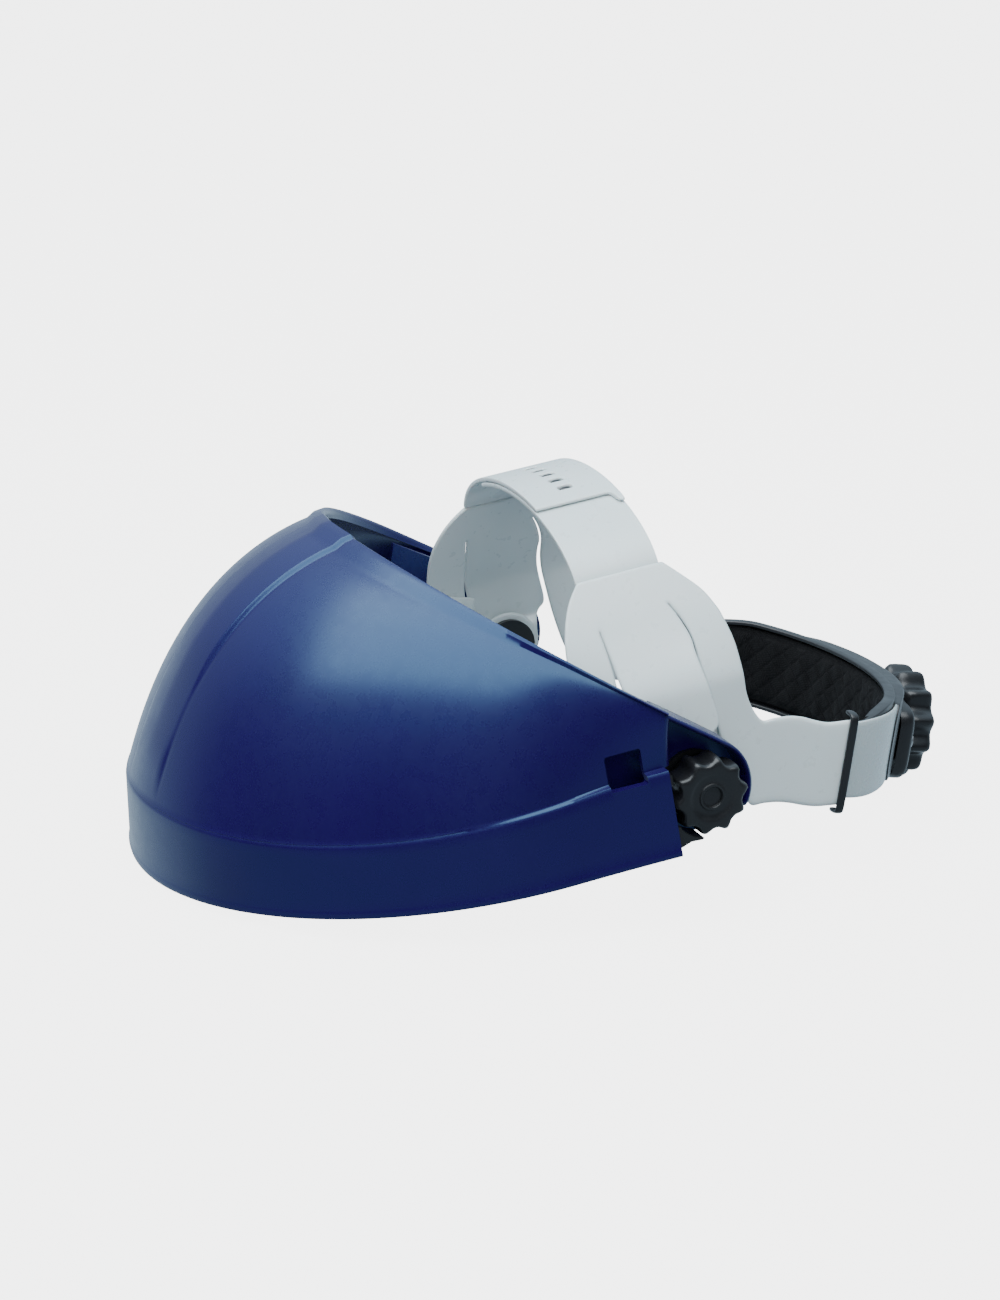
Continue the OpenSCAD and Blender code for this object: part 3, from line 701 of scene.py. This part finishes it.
def make_temple(side, label):
    """One sheet per region, welded where they share edges, then given its thickness."""
    columns = 40
    # Top region: from the crease to the line joining the slits' tops.
    crease = [Vector((mix(-16.2, 14.0, j / columns), CREASE_Z)) for j in range(columns + 1)]
    left = curve_through(FRONT_EDGE[:4], 12)
    right = curve_through(REAR_EDGE[:4], 12)
    slit_a, slit_b = Vector(FRONT_SLIT[0]), Vector(REAR_SLIT[0])
    low = []
    front_cols, mid_cols = 10, 20
    rear_cols = columns - front_cols - mid_cols
    for j in range(columns + 1):
        if j <= front_cols:
            low.append(left[-1].lerp(slit_a, j / front_cols))
        elif j <= front_cols + mid_cols:
            low.append(slit_a.lerp(slit_b, (j - front_cols) / mid_cols))
        else:
            low.append(slit_b.lerp(right[-1], (j - front_cols - mid_cols) / rear_cols))
    top_rows = []
    for i in range(13):
        s = i / 12
        row = []
        for j in range(columns + 1):
            u = j / columns
            ruled = crease[j].lerp(low[j], s)
            front_edge = (left[i] - mix(crease[0], low[0], s)) * (1 - u)
            rear_edge = (right[i] - mix(crease[-1], low[-1], s)) * u
            q = ruled + (front_edge + rear_edge)
            row.append(Vector((plate_x(q.y), q.x, q.y)))
        top_rows.append(row)
    front_a = curve_through([left[-1]] + FRONT_EDGE[4:], 26)
    front_b = curve_through(FRONT_SLIT, 26)
    tongue_a = curve_through(TONGUE_FRONT, 34)
    tongue_b = curve_through(TONGUE_REAR, 34)
    strap_top = [strap_edge(y, True) for y in (31, 36, 41, 46, 51, 56, 62, 67.5)]
    strap_low = [strap_edge(y, False) for y in (32, 37, 42, 47, 52, 57, 62, 67.5)]
    rear_a = curve_through(REAR_SLIT + strap_low, 70)
    rear_b = curve_through([right[-1]] + REAR_EDGE[4:] + strap_top, 70)
    regions = [
        top_rows,
        between(front_a, front_b, front_cols),
        between(tongue_a, tongue_b, mid_cols, tongue_bow),
        between(rear_a, rear_b, rear_cols),
    ]
    verts, faces = [], []
    for rows in regions:
        start = len(verts)
        verts += [p for row in rows for p in row]
        faces += grid_faces(len(rows), len(rows[0]), start=start)
    # Round boss under the tongue's foot.
    start, spokes, rings = len(verts), 36, 4
    for i in range(rings + 1):
        r = mix(3.1, 12.0, i / rings)
        for k in range(spokes):
            a = 2 * math.pi * k / spokes
            verts.append(Vector((TONGUE_X, r * math.cos(a), PIVOT_Z + r * math.sin(a))))
    faces += [tuple(reversed(face)) for face in grid_faces(rings + 1, spokes, closed=True, start=start)]
    piece = new_object("temple_moulding_" + label, verts, faces, CROWN, mirror=side < 0)
    weld(piece, 0.00002)
    modifier(piece, "SOLIDIFY", thickness=STRAP_T * 0.001, offset=0.0)
    modifier(piece, "SUBSURF", levels=1, render_levels=1)
    dress(piece, GREY, "grey_strap", "headband", label + "_temple_plate", label + "_side_strap")
    piece.data.transform(Matrix.Translation((side * STRAP_T * 0.0005, 0, 0)))


# --- Overhead strap ---
ARCH_W, ARCH_RISE, ARCH_Z, ARCH_MID = 53.0, 24.0, 73.0, -1.5
SLOTS = [math.radians(76 + 8.5 * k) for k in range(5)]
SLOT_LONG, SLOT_WIDE = 2.4, 0.031
LOW_START, LOW_STOP = math.radians(8.5), math.radians(125)
UP_START, UP_STOP = math.radians(64), math.radians(168.5)


def arch_point(a, gap, y):
    """Point of the overhead arch at angle a, gap above its middle surface."""
    return Vector(((ARCH_W + gap) * math.cos(a), y, ARCH_Z + (ARCH_RISE + gap) * math.sin(a)))


def strip_with_slots(angles, widths, gap, holes):
    """Grid over the arch without the cells whose centre lies in a hole."""
    verts = [arch_point(a, gap, ARCH_MID + w) for a in angles for w in widths]
    faces = []
    for i in range(len(angles) - 1):
        for j in range(len(widths) - 1):
            a, w = (angles[i] + angles[i + 1]) / 2, (widths[j] + widths[j + 1]) / 2
            if any(abs(a - h) < SLOT_WIDE and abs(w) < SLOT_LONG for h in holes):
                continue
            n = len(widths)
            faces.append((i * n + j, i * n + j + 1, (i + 1) * n + j + 1, (i + 1) * n + j))
    return verts, faces


def slot_lines(start, stop, holes):
    """Angles of the grid lines: even steps, with lines on both edges of each slot."""
    lines = [start + (stop - start) * k / 40 for k in range(41)]
    lines = [a for a in lines if all(abs(a - h) > 0.055 for h in holes)]
    for h in holes:
        lines += [h - 0.04, h - SLOT_WIDE, h, h + SLOT_WIDE, h + 0.04]
    return sorted(lines)


def make_arch(name, start, stop, gap, holes, body, node, clip):
    """One half of the overhead strap; with clip, the upper half with its tab."""
    widths = [-15, -14.6, -13, -10, -7, -4.5, -3.3, -SLOT_LONG, -1.4, 0, 1.4, SLOT_LONG, 3.3, 4.5, 7, 10,
              12, 12.6, 13.4, 14.6, 15]
    angles = slot_lines(start, stop, holes)
    verts, faces = strip_with_slots(angles, widths, gap + STRAP_T / 2, holes)
    if clip:
        # A narrow tab runs on along the rear edge of the free end.
        for p in verts:
            a = math.atan2((p.z - ARCH_Z) / (ARCH_RISE + gap), p.x / (ARCH_W + gap))
            w = p.y - ARCH_MID
            pull = -0.13 * smooth(12, 12.8, w) * (1 - smooth(start, start + 0.12, a))
            q = arch_point(a + pull, gap + STRAP_T / 2, p.y)
            p.x, p.z = q.x, q.z
    piece = new_object(name, verts, faces, CROWN)
    weld(piece)
    modifier(piece, "SOLIDIFY", thickness=STRAP_T * 0.001, offset=0.0)
    modifier(piece, "SUBSURF", levels=2, render_levels=2)
    dress(piece, GREY, "grey_strap", None if clip else body, node)
    if clip:
        apply_modifiers(piece)
        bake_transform(piece)


def make_slot_shade_pegs():
    """Oval studs on the lower strap that fill the upper strap's slots, near black as painted shade in the
    slots.
    """
    profile = [(-0.8, 1.0, 0), (1.2, 1.0, 0), (1.5, 0.93, 0), (1.66, 0.72, 0), (1.72, 0.35, 0),
               (1.73, 0.1, 0)]
    for k, angle in enumerate(SLOTS):
        tilt = Matrix.Rotation(math.pi / 2 - angle, 4, "Y") @ Matrix.Diagonal((0.92, 1.95, 1, 1))
        place = CROWN @ Matrix.Translation(arch_point(angle, 0, ARCH_MID)) @ tilt
        piece = knob_piece("strap_slot_shade_peg_%d" % k, profile, 4, place)
        # Near black here is painted shade inside the slots.
        dress(piece, SMOKE, "black_plastic", "headband")


# --- Headband ring ---
RING_FRONT_Y, RING_FRONT_REACH = -22.0, 68.0
RING_REAR_Y, RING_REAR_REACH = 57.0, 54.0


def ring_point(a, gap, z):
    """Point of the headband ring, gap inside it; the rear is at +90 degrees, the front at -90."""
    w = RING_W - gap
    if a < 0:
        return Vector((w * math.cos(a), RING_FRONT_Y + (RING_FRONT_REACH - gap) * math.sin(a), z))
    return Vector((w * math.cos(a), RING_REAR_Y + (RING_REAR_REACH - gap) * math.sin(a), z))


def ring_strip(name, path, thickness, height_of, rows=9):
    """Strip of a given thickness and varying height along a plan path in the ring's frame."""
    verts = []
    for i, p in enumerate(path):
        low, high = height_of(i / (len(path) - 1))
        for j in range(rows + 1):
            s = j / rows
            verts.append(Vector((p.x, p.y, mix(low, high, s))))
    faces = grid_faces(len(path), rows + 1)
    piece = new_object(name, verts, faces, RING)
    weld(piece)
    modifier(piece, "SOLIDIFY", thickness=thickness * 0.001, offset=0.0)
    modifier(piece, "SUBSURF", levels=2, render_levels=2)
    return piece


def make_brow_band():
    mid = STRAP_T / 2
    path = [Vector((-RING_W + mid, y, 0)) for y in (-16, -18, -20)]
    path += [ring_point(math.radians(mix(-180, 0, k / 60)), mid, 0) for k in range(61)]
    path += [Vector((RING_W - mid, y, 0)) for y in (-20, -18, -16)]
    half = 15.0
    piece = ring_strip("brow_band_moulding", path, STRAP_T, lambda s: (-half, half))
    dress(piece, GREY, "grey_strap", "headband", "brow_band")


def make_strap_tail(side, label):
    mid = 1.0 + STRAP_T / 2
    path = [Vector((RING_W - mid, y, 0)) for y in (46, 50, 54)]
    path += [ring_point(math.radians(mix(0, 64, k / 26)), mid, 0) for k in range(27)]
    if side < 0:
        path = [Vector((-p.x, p.y, 0)) for p in path]
    piece = ring_strip("strap_tail_moulding_" + label, path, STRAP_T,
                         lambda s: (-13 - 1.6 * smooth(0.1, 0.5, s), 13 + 0.8 * smooth(0.1, 0.5, s)))
    # The tail's darker grey is painted shade.
    dress(piece, SHADED_TAIL_GREY, "grey_strap", "rear_unit", label + "_strap_tail")


# --- Crown, knobs and straps ---
make_crown()
for side, label in ((1, "left"), (-1, "right")):
    make_ear(side, label)
    make_gusset(side, label)
    make_tension_knob(side, label)
    make_temple(side, label)
    make_strap_tail(side, label)
make_ratchet_knob()
make_brow_band()
make_arch("lower_strap_moulding", LOW_START, LOW_STOP, -STRAP_T, [], "headband", "lower_crown_strap", False)
make_arch("upper_strap_moulding", UP_START, UP_STOP, 0.3, SLOTS, "crown_strap", "upper_crown_strap", True)
make_slot_shade_pegs()


# --- Pads ---
def wrap_pad(name, path, facing, depth_of, high_of, rows=40):
    """Closed pad: flat against the band, puffed by depth_of(u, v) on the head's side."""
    verts, back = [], 6
    count = len(path)
    for i, p in enumerate(path):
        low, high = high_of(i / (count - 1))
        n = facing[i]
        for j in range(rows + 1):
            v = j / rows
            d = depth_of(i, v)
            verts.append(Vector((p.x + n.x * d, p.y + n.y * d, mix(low, high, v))))
        for j in range(1, back):
            verts.append(Vector((p.x, p.y, mix(high, low, j / back))))
    ring = rows + back
    faces = grid_faces(count, ring, closed=True)
    faces.append(tuple(range(ring)))
    faces.append(tuple(reversed(range((count - 1) * ring, count * ring))))
    piece = new_object(name, verts, faces, RING)
    weld(piece)
    return piece


def arc_length(path):
    """Length along the path at each point."""
    total, lengths = 0.0, [0.0]
    for a, b in zip(path, path[1:]):
        total += (b - a).length
        lengths.append(total)
    return lengths


def side_normals(path):
    """Unit normals in plan, towards the inside of the ring."""
    normals, last = [], len(path) - 1
    for i in range(len(path)):
        along = (path[min(last, i + 1)] - path[max(0, i - 1)]).normalized()
        n = Vector((-along.y, along.x, 0))
        middle = Vector((0, 18, 0)) - path[i]
        normals.append(n if n.dot(middle) > 0 else -n)
    return normals


def pillow(v, power=5):
    """1 over the middle of the pad, rounding to 0 at its edges."""
    return (1 - abs(2 * v - 1) ** power) ** 0.5


def make_rear_pad():
    gap = 4.4
    path = [ring_point(math.radians(mix(4.5, 175.5, k / 420)), gap, 0) for k in range(421)]
    lengths = arc_length(path)
    height, pitch, total = 27.2, 8.2, lengths[-1]

    def depth(i, v):
        u, z = lengths[i], (v - 0.5) * height
        ends = smooth(0, 5, u) * smooth(0, 5, total - u)
        first = abs(((u + z) / pitch) % 1 - 0.5) * 2
        second = abs(((u - z) / pitch) % 1 - 0.5) * 2
        puff = min(1 - first ** 3, 1 - second ** 3)
        puff = clamp(puff * 1.4) ** 0.6
        edge = min(v, 1 - v) * height
        hem = smooth(1.6, 3.0, edge)
        piping = 0.55 * math.exp(-(((edge - 0.9) / 0.6) ** 2))
        crease = 0.35 * math.sin(u * 0.42 + 0.9 * math.sin(z * 0.2)) + 0.2 * math.sin(u * 0.9 - z * 0.3 + 1.1)
        return ends * pillow(v) * (2.3 + piping + hem * (0.5 * puff + crease)) + 0.25 * (1 - ends)

    piece = wrap_pad("rear_pad_quilted", path, side_normals(path), depth, lambda s: (-13.6, 13.6), rows=56)
    dress(piece, QUILT, "quilted_pad", "rear_unit", "rear_pad")


def make_brow_pad():
    gap = STRAP_T + 0.15
    path = [ring_point(math.radians(mix(-168, -12, k / 260)), gap, 0) for k in range(261)]
    lengths = arc_length(path)
    total = lengths[-1]

    def depth(i, v):
        u = lengths[i]
        ends = smooth(0, 6, u) * smooth(0, 6, total - u)
        edge = min(v, 1 - v) * 28.6
        stitch = 0.55 * math.exp(-(((edge - 2.6) / 0.5) ** 2)) * (0.75 + 0.25 * math.cos(u * 2.4))
        fold = 0.14 * math.sin(u * 0.5 + 3 * math.sin(v * 3)) + 0.08 * math.sin(u * 1.3 - v * 7)
        return ends * (pillow(v, 7) * (2.75 + fold) - stitch) + 0.4 * (1 - ends)

    piece = wrap_pad("brow_pad_cloth", path, side_normals(path), depth, lambda s: (-14.3, 14.3), rows=48)
    dress(piece, TOWEL, "sweat_foam", "headband", "brow_pad")


# --- Rear unit ---
def loop_strip(name, angles, section_of, caps=True):
    """Solid swept round the ring: section_of(s) is a closed cross-section of (gap, z) points."""
    verts, ring = [], 0
    for k, angle in enumerate(angles):
        section = section_of(k / (len(angles) - 1))
        ring = len(section)
        verts += [ring_point(angle, gap, z) for gap, z in section]
    faces = [tuple(reversed(face)) for face in grid_faces(len(angles), ring, closed=True)]
    if caps:
        faces.append(tuple(reversed(range(ring))))
        faces.append(tuple(range((len(angles) - 1) * ring, len(angles) * ring)))
    piece = new_object(name, verts, faces, RING)
    weld(piece)
    return piece


def make_carrier():
    """Black carrier strip with flanges that hold the pad's edges; its arms end in rounded tips."""
    angles = [math.radians(mix(9, 171, k / 140)) for k in range(141)]

    def section_of(s):
        end = min(s, 1 - s)
        tip = math.sqrt(clamp(1 - (1 - clamp(end / 0.03)) ** 2, 0.1, 1))
        half = 15.7 * (0.80 + 0.20 * smooth(0.03, 0.2, end)) * tip
        deep = 4.4 + 2.4 * smooth(0.04, 0.14, end)
        lower = [(2.7, -half + 0.4), (2.9, -half + 0.1), (3.2, -half), (deep - 0.4, -half),
                 (deep, -half + 0.4), (deep, -half + 1.2), (deep - 0.3, -half + 1.5), (4.3, -half + 1.6),
                 (4.3, -half + 1.9)]
        return lower + [(gap, -z) for gap, z in reversed(lower)]

    piece = loop_strip("ratchet_carrier", angles, section_of)
    smooth_by_angle(piece, 50)
    dress(piece, SMOKE, "black_plastic", "rear_unit", "ratchet_base")


def make_housing_arms():
    """Moulded shell that swells from the strap ends to the ratchet box behind the knob."""
    angles = [math.radians(mix(46, 134, k / 70)) for k in range(71)]

    def section_of(s):
        end = min(s, 1 - s) / 0.5
        swell = smooth(0.0, 0.85, end)
        out = mix(0.5, -3.6, swell)
        tip = math.sqrt(clamp(1 - (1 - clamp(end / 0.08)) ** 2, 0.3, 1))
        half = mix(13.9, 15.6, smooth(0, 0.5, end)) * tip
        soft = mix(0.5, 2.4, swell)
        points = []
        for sign in (-1, 1):
            turns = [math.pi / 2 * k / 5 for k in range(6)]
            arc = [(out + soft * (1 - math.cos(a)), sign * (half - soft * (1 - math.sin(a)))) for a in turns]
            points += arc[::-1] if sign < 0 else arc
        return [(4.25, -half + 0.5), (3.9, -half)] + points + [(3.9, half), (4.25, half - 0.5)]

    piece = loop_strip("ratchet_housing_shell", angles, section_of)
    smooth_by_angle(piece, 50)
    dress(piece, SMOKE, "black_plastic", "rear_unit")


def rounded_rectangle(half_x, half_z, radius, count=96):
    """Superellipse from a circle to a rectangle with rounded corners."""
    points = []
    for k in range(count):
        a = 2 * math.pi * k / count
        ca, sa = math.cos(a), math.sin(a)
        power = 2 / (2 + 6 * (1 - radius / min(half_x, half_z)))
        x = half_x * math.copysign(abs(ca) ** power, ca)
        points.append((x, half_z * math.copysign(abs(sa) ** power, sa)))
    return points


def make_ratchet_cover():
    """Housing lofted from a rounded rectangle at its seat to a round collar behind the knob."""
    sections = [
        (107.3, 33.6, 13.8, 4), (109.3, 34.2, 14.2, 4), (111.4, 34.2, 14.2, 4), (112.4, 33.8, 13.9, 4.5),
        (113.2, 32.8, 13.5, 5.5), (113.9, 30.5, 13.6, 7.5), (114.3, 26.5, 14.6, 10.5),
        (114.6, 22.0, 16.0, 15), (114.8, 18.2, 16.9, 16.8), (115.1, 17.1, 17.0, 17), (116.8, 17.0, 17.0, 17),
        (117.2, 16.8, 16.8, 16.8), (117.4, 16.4, 16.4, 16.4), (117.4, 14.0, 14.0, 14.0),
        (117.1, 13.6, 13.6, 13.6), (117.1, 6.3, 6.3, 6.3),
        (116.6, 6.1, 6.1, 6.1), (109.2, 6.1, 6.1, 6.1),
    ]
    verts, count = [], 96
    for y, half_x, half_z, radius in sections:
        for x, z in rounded_rectangle(half_x, half_z, min(radius, half_z), count):
            verts.append(Vector((x, y, z - DROP)))
    faces = [tuple(reversed(face)) for face in grid_faces(len(sections), count, closed=True)]
    piece = new_object("ratchet_housing", verts, faces, RING)
    weld(piece)
    smooth_by_angle(piece, 38)
    dress(piece, SMOKE, "black_plastic", "rear_unit", "ratchet_cover")


LOOP_Y, LOOP_HALF_H, LOOP_HALF_W = 65.0, 17.1, 1.5


def make_loop(side, label):
    """Rectangular loop of round-edged bar whose outer leg crosses the strap."""
    inside_x, outside_x = RING_W - 3.4, RING_W + 2.7
    half_h, half_w = LOOP_HALF_H, LOOP_HALF_W
    corners = [(inside_x, half_h), (outside_x - 1.6, half_h), (outside_x - 0.5, half_h - 0.5),
               (outside_x, half_h - 1.6), (outside_x, 8), (outside_x, 0), (outside_x, -8),
               (outside_x, -half_h + 1.6),
               (outside_x - 0.5, -half_h + 0.5), (outside_x - 1.6, -half_h), (inside_x, -half_h)]
    verts, n = [], 12
    for i, (x, z) in enumerate(corners):
        before = Vector(corners[max(0, i - 1)])
        after = Vector(corners[min(len(corners) - 1, i + 1)])
        along = (after - before).normalized()
        out = Vector((-along.y, along.x)) * -1
        for k in range(n):
            a = 2 * math.pi * k / n
            w = math.copysign(abs(math.cos(a)) ** 0.55, math.cos(a)) * half_w
            d = math.copysign(abs(math.sin(a)) ** 0.55, math.sin(a)) * 0.75
            verts.append(Vector((side * (x + out.x * d), LOOP_Y + w, z + out.y * d)))
    faces = grid_faces(len(corners), n, closed=True)
    faces.append(tuple(range(n)))
    faces.append(tuple(reversed(range((len(corners) - 1) * n, len(corners) * n))))
    piece = new_object("strap_loop_" + label, verts, faces, RING)
    weld(piece)
    modifier(piece, "SUBSURF", levels=1, render_levels=1)
    dress(piece, BLACK, "black_plastic", "rear_unit", label + "_loop")


make_rear_pad()
make_brow_pad()
make_carrier()
make_housing_arms()
make_ratchet_cover()
for side, label in ((1, "left"), (-1, "right")):
    make_loop(side, label)

# --- CAD nodes that stay: rounded edges and real finishes ---
STAY = {
    "left_stud": BLACK, "right_stud": BLACK, "left_spacer": BLACK, "right_spacer": BLACK,
    "left_washer": STEEL, "right_washer": STEEL, "left_pivot_arm": BLACK, "right_pivot_arm": BLACK,
    "knob_axle": STEEL, "cover_screws": STEEL, "detent_spring": STEEL, "drive_pinion": ACETAL,
    "left_rack": ACETAL, "right_rack": ACETAL,
}
for node_name, material in STAY.items():
    node = frame["nodes"][node_name]
    if not node.data.materials:
        node.data.materials.append(material)
    for slot in node.material_slots:
        slot.material = material
    if node_name not in ("drive_pinion", "left_rack", "right_rack"):
        modifier(node, "BEVEL", width=0.00025, segments=2, limit_method="ANGLE", angle_limit=math.radians(40))



# --- Stage ---
FLOOR_GLOW = 4.5
FLOOR_REACH = 300
FLOOR_Z = -0.0004


def make_floor():
    """Pale paper that glows a little, and neither lights the object nor shows in its gloss."""
    mesh = bpy.data.meshes.new("floor")
    across = (-FLOOR_REACH, FLOOR_REACH)
    mesh.from_pydata([(x, y, FLOOR_Z) for x in across for y in across], [], [(0, 2, 3, 1)])
    floor = bpy.data.objects.new("floor", mesh)
    bpy.context.collection.objects.link(floor)
    material, tree, shader, coords = node_material("floor_paper")
    tree.links.new(ramp(tree, noise(tree, coords, 3, 2), (0.125, 0.125, 0.125), (0.13, 0.13, 0.13)),
                   shader.inputs["Base Color"])
    shader.inputs["Roughness"].default_value = 0.95
    shader.inputs["Specular IOR Level"].default_value = 0.0
    shader.inputs["Emission Color"].default_value = (1, 1, 1, 1)
    shader.inputs["Emission Strength"].default_value = FLOOR_GLOW
    floor.data.materials.append(material)
    floor.visible_diffuse = False
    floor.visible_glossy = False


make_floor()

world = bpy.data.worlds.new("studio")
bpy.context.scene.world = world
world.use_nodes = True
tree = world.node_tree
direction = tree.nodes.new("ShaderNodeTexCoord")
split = tree.nodes.new("ShaderNodeSeparateXYZ")
tree.links.new(direction.outputs["Generated"], split.inputs["Vector"])


SKY_TINT = (0.64, 0.84, 1.0)


def sky_ramp(value, levels):
    """Tinted light over a direction's component from -1 to 1, as (position, level) pairs."""
    span = tree.nodes.new("ShaderNodeMapRange")
    span.inputs["From Min"].default_value = -1
    span.inputs["From Max"].default_value = 1
    shade = tree.nodes.new("ShaderNodeValToRGB")
    stops = shade.color_ramp.elements
    for position, _ in levels[1:-1]:
        stops.new(position)
    for stop, (position, level) in zip(stops, levels):
        stop.position = position
        stop.color = (*(level * share for share in SKY_TINT), 1)
    tree.links.new(value, span.inputs["Value"])
    tree.links.new(span.outputs["Result"], shade.inputs["Fac"])
    return shade.outputs["Color"]


# A dark room, a pale sweep behind the object, a soft ceiling and a pale table.
side_of = tree.nodes.new("ShaderNodeVectorMath")
side_of.operation = "DOT_PRODUCT"
side_of.inputs[1].default_value = (0.93, -0.37, 0)
tree.links.new(direction.outputs["Generated"], side_of.inputs[0])
SWEEP_LEVELS = [(0.0, 0.85), (0.36, 0.6), (0.52, 0.05), (1.0, 0.03)]
HEIGHT_LEVELS = [(0.0, 0.5), (0.42, 0.5), (0.50, 0.0), (0.66, 0.03), (0.9, 0.95)]
sweep = sky_ramp(side_of.outputs["Value"], SWEEP_LEVELS)
height = sky_ramp(split.outputs["Z"], HEIGHT_LEVELS)
total = tree.nodes.new("ShaderNodeMix")
total.data_type = "RGBA"
total.blend_type = "ADD"
MIX_FACTOR, MIX_FIRST, MIX_SECOND, MIX_COLOUR_OUT = 0, 6, 7, 2
total.inputs[MIX_FACTOR].default_value = 1.0
tree.links.new(sweep, total.inputs[MIX_FIRST])
tree.links.new(height, total.inputs[MIX_SECOND])
tree.links.new(total.outputs[MIX_COLOUR_OUT], tree.nodes["Background"].inputs["Color"])
tree.nodes["Background"].inputs["Strength"].default_value = 1.0

# --- Camera ---
AZIMUTH, ELEVATION, ROLL = math.radians(68.447), math.radians(16.872), math.radians(0.420)
TARGET = Vector((0, -0.002779, 0.057782))
CAMERA_DISTANCE, LENS, SENSOR = 1.147, 92.113, 36
toward = Vector((math.sin(AZIMUTH) * math.cos(ELEVATION), -math.cos(AZIMUTH) * math.cos(ELEVATION),
                 math.sin(ELEVATION)))
right0 = Vector((math.cos(AZIMUTH), math.sin(AZIMUTH), 0))
up0 = toward.cross(right0)
right = right0 * math.cos(ROLL) + up0 * math.sin(ROLL)
up = toward.cross(right)
camera = bpy.data.objects.new("camera", bpy.data.cameras.new("camera"))
bpy.context.collection.objects.link(camera)
spot = TARGET + toward * CAMERA_DISTANCE
camera.matrix_world = Matrix((
    (right.x, up.x, toward.x, spot.x),
    (right.y, up.y, toward.y, spot.y),
    (right.z, up.z, toward.z, spot.z),
    (0, 0, 0, 1),
))
camera.data.lens = LENS
camera.data.sensor_width = SENSOR
camera.data.shift_x = -0.02946
camera.data.shift_y = 0.00715
bpy.context.scene.camera = camera


# --- Lights ---
def area(name, place, aim, size_x, size_y, power, colour=(1, 1, 1)):
    """Rectangular softbox, aimed at a point."""
    lamp = bpy.data.objects.new(name, bpy.data.lights.new(name, "AREA"))
    bpy.context.collection.objects.link(lamp)
    lamp.data.shape = "RECTANGLE"
    lamp.data.size, lamp.data.size_y = size_x, size_y
    lamp.data.energy = power
    lamp.data.color = colour
    lamp.location = place
    lamp.rotation_euler = (Vector(place) - Vector(aim)).to_track_quat("Z", "Y").to_euler()
    return lamp


CENTRE = (0, 0, 0.05)
area("top", (0.22, -0.30, 1.3), CENTRE, 1.8, 1.3, 44, (0.90, 0.96, 1.0))
area("side_fill", (1.5, -0.3, 0.55), CENTRE, 1.0, 0.7, 11).visible_glossy = False
area("front_fill", (0.2, -1.5, 0.7), CENTRE, 0.9, 0.7, 10).visible_glossy = False
area("rim", (0.75, 0.35, 0.95), CENTRE, 0.35, 0.35, 2.2)
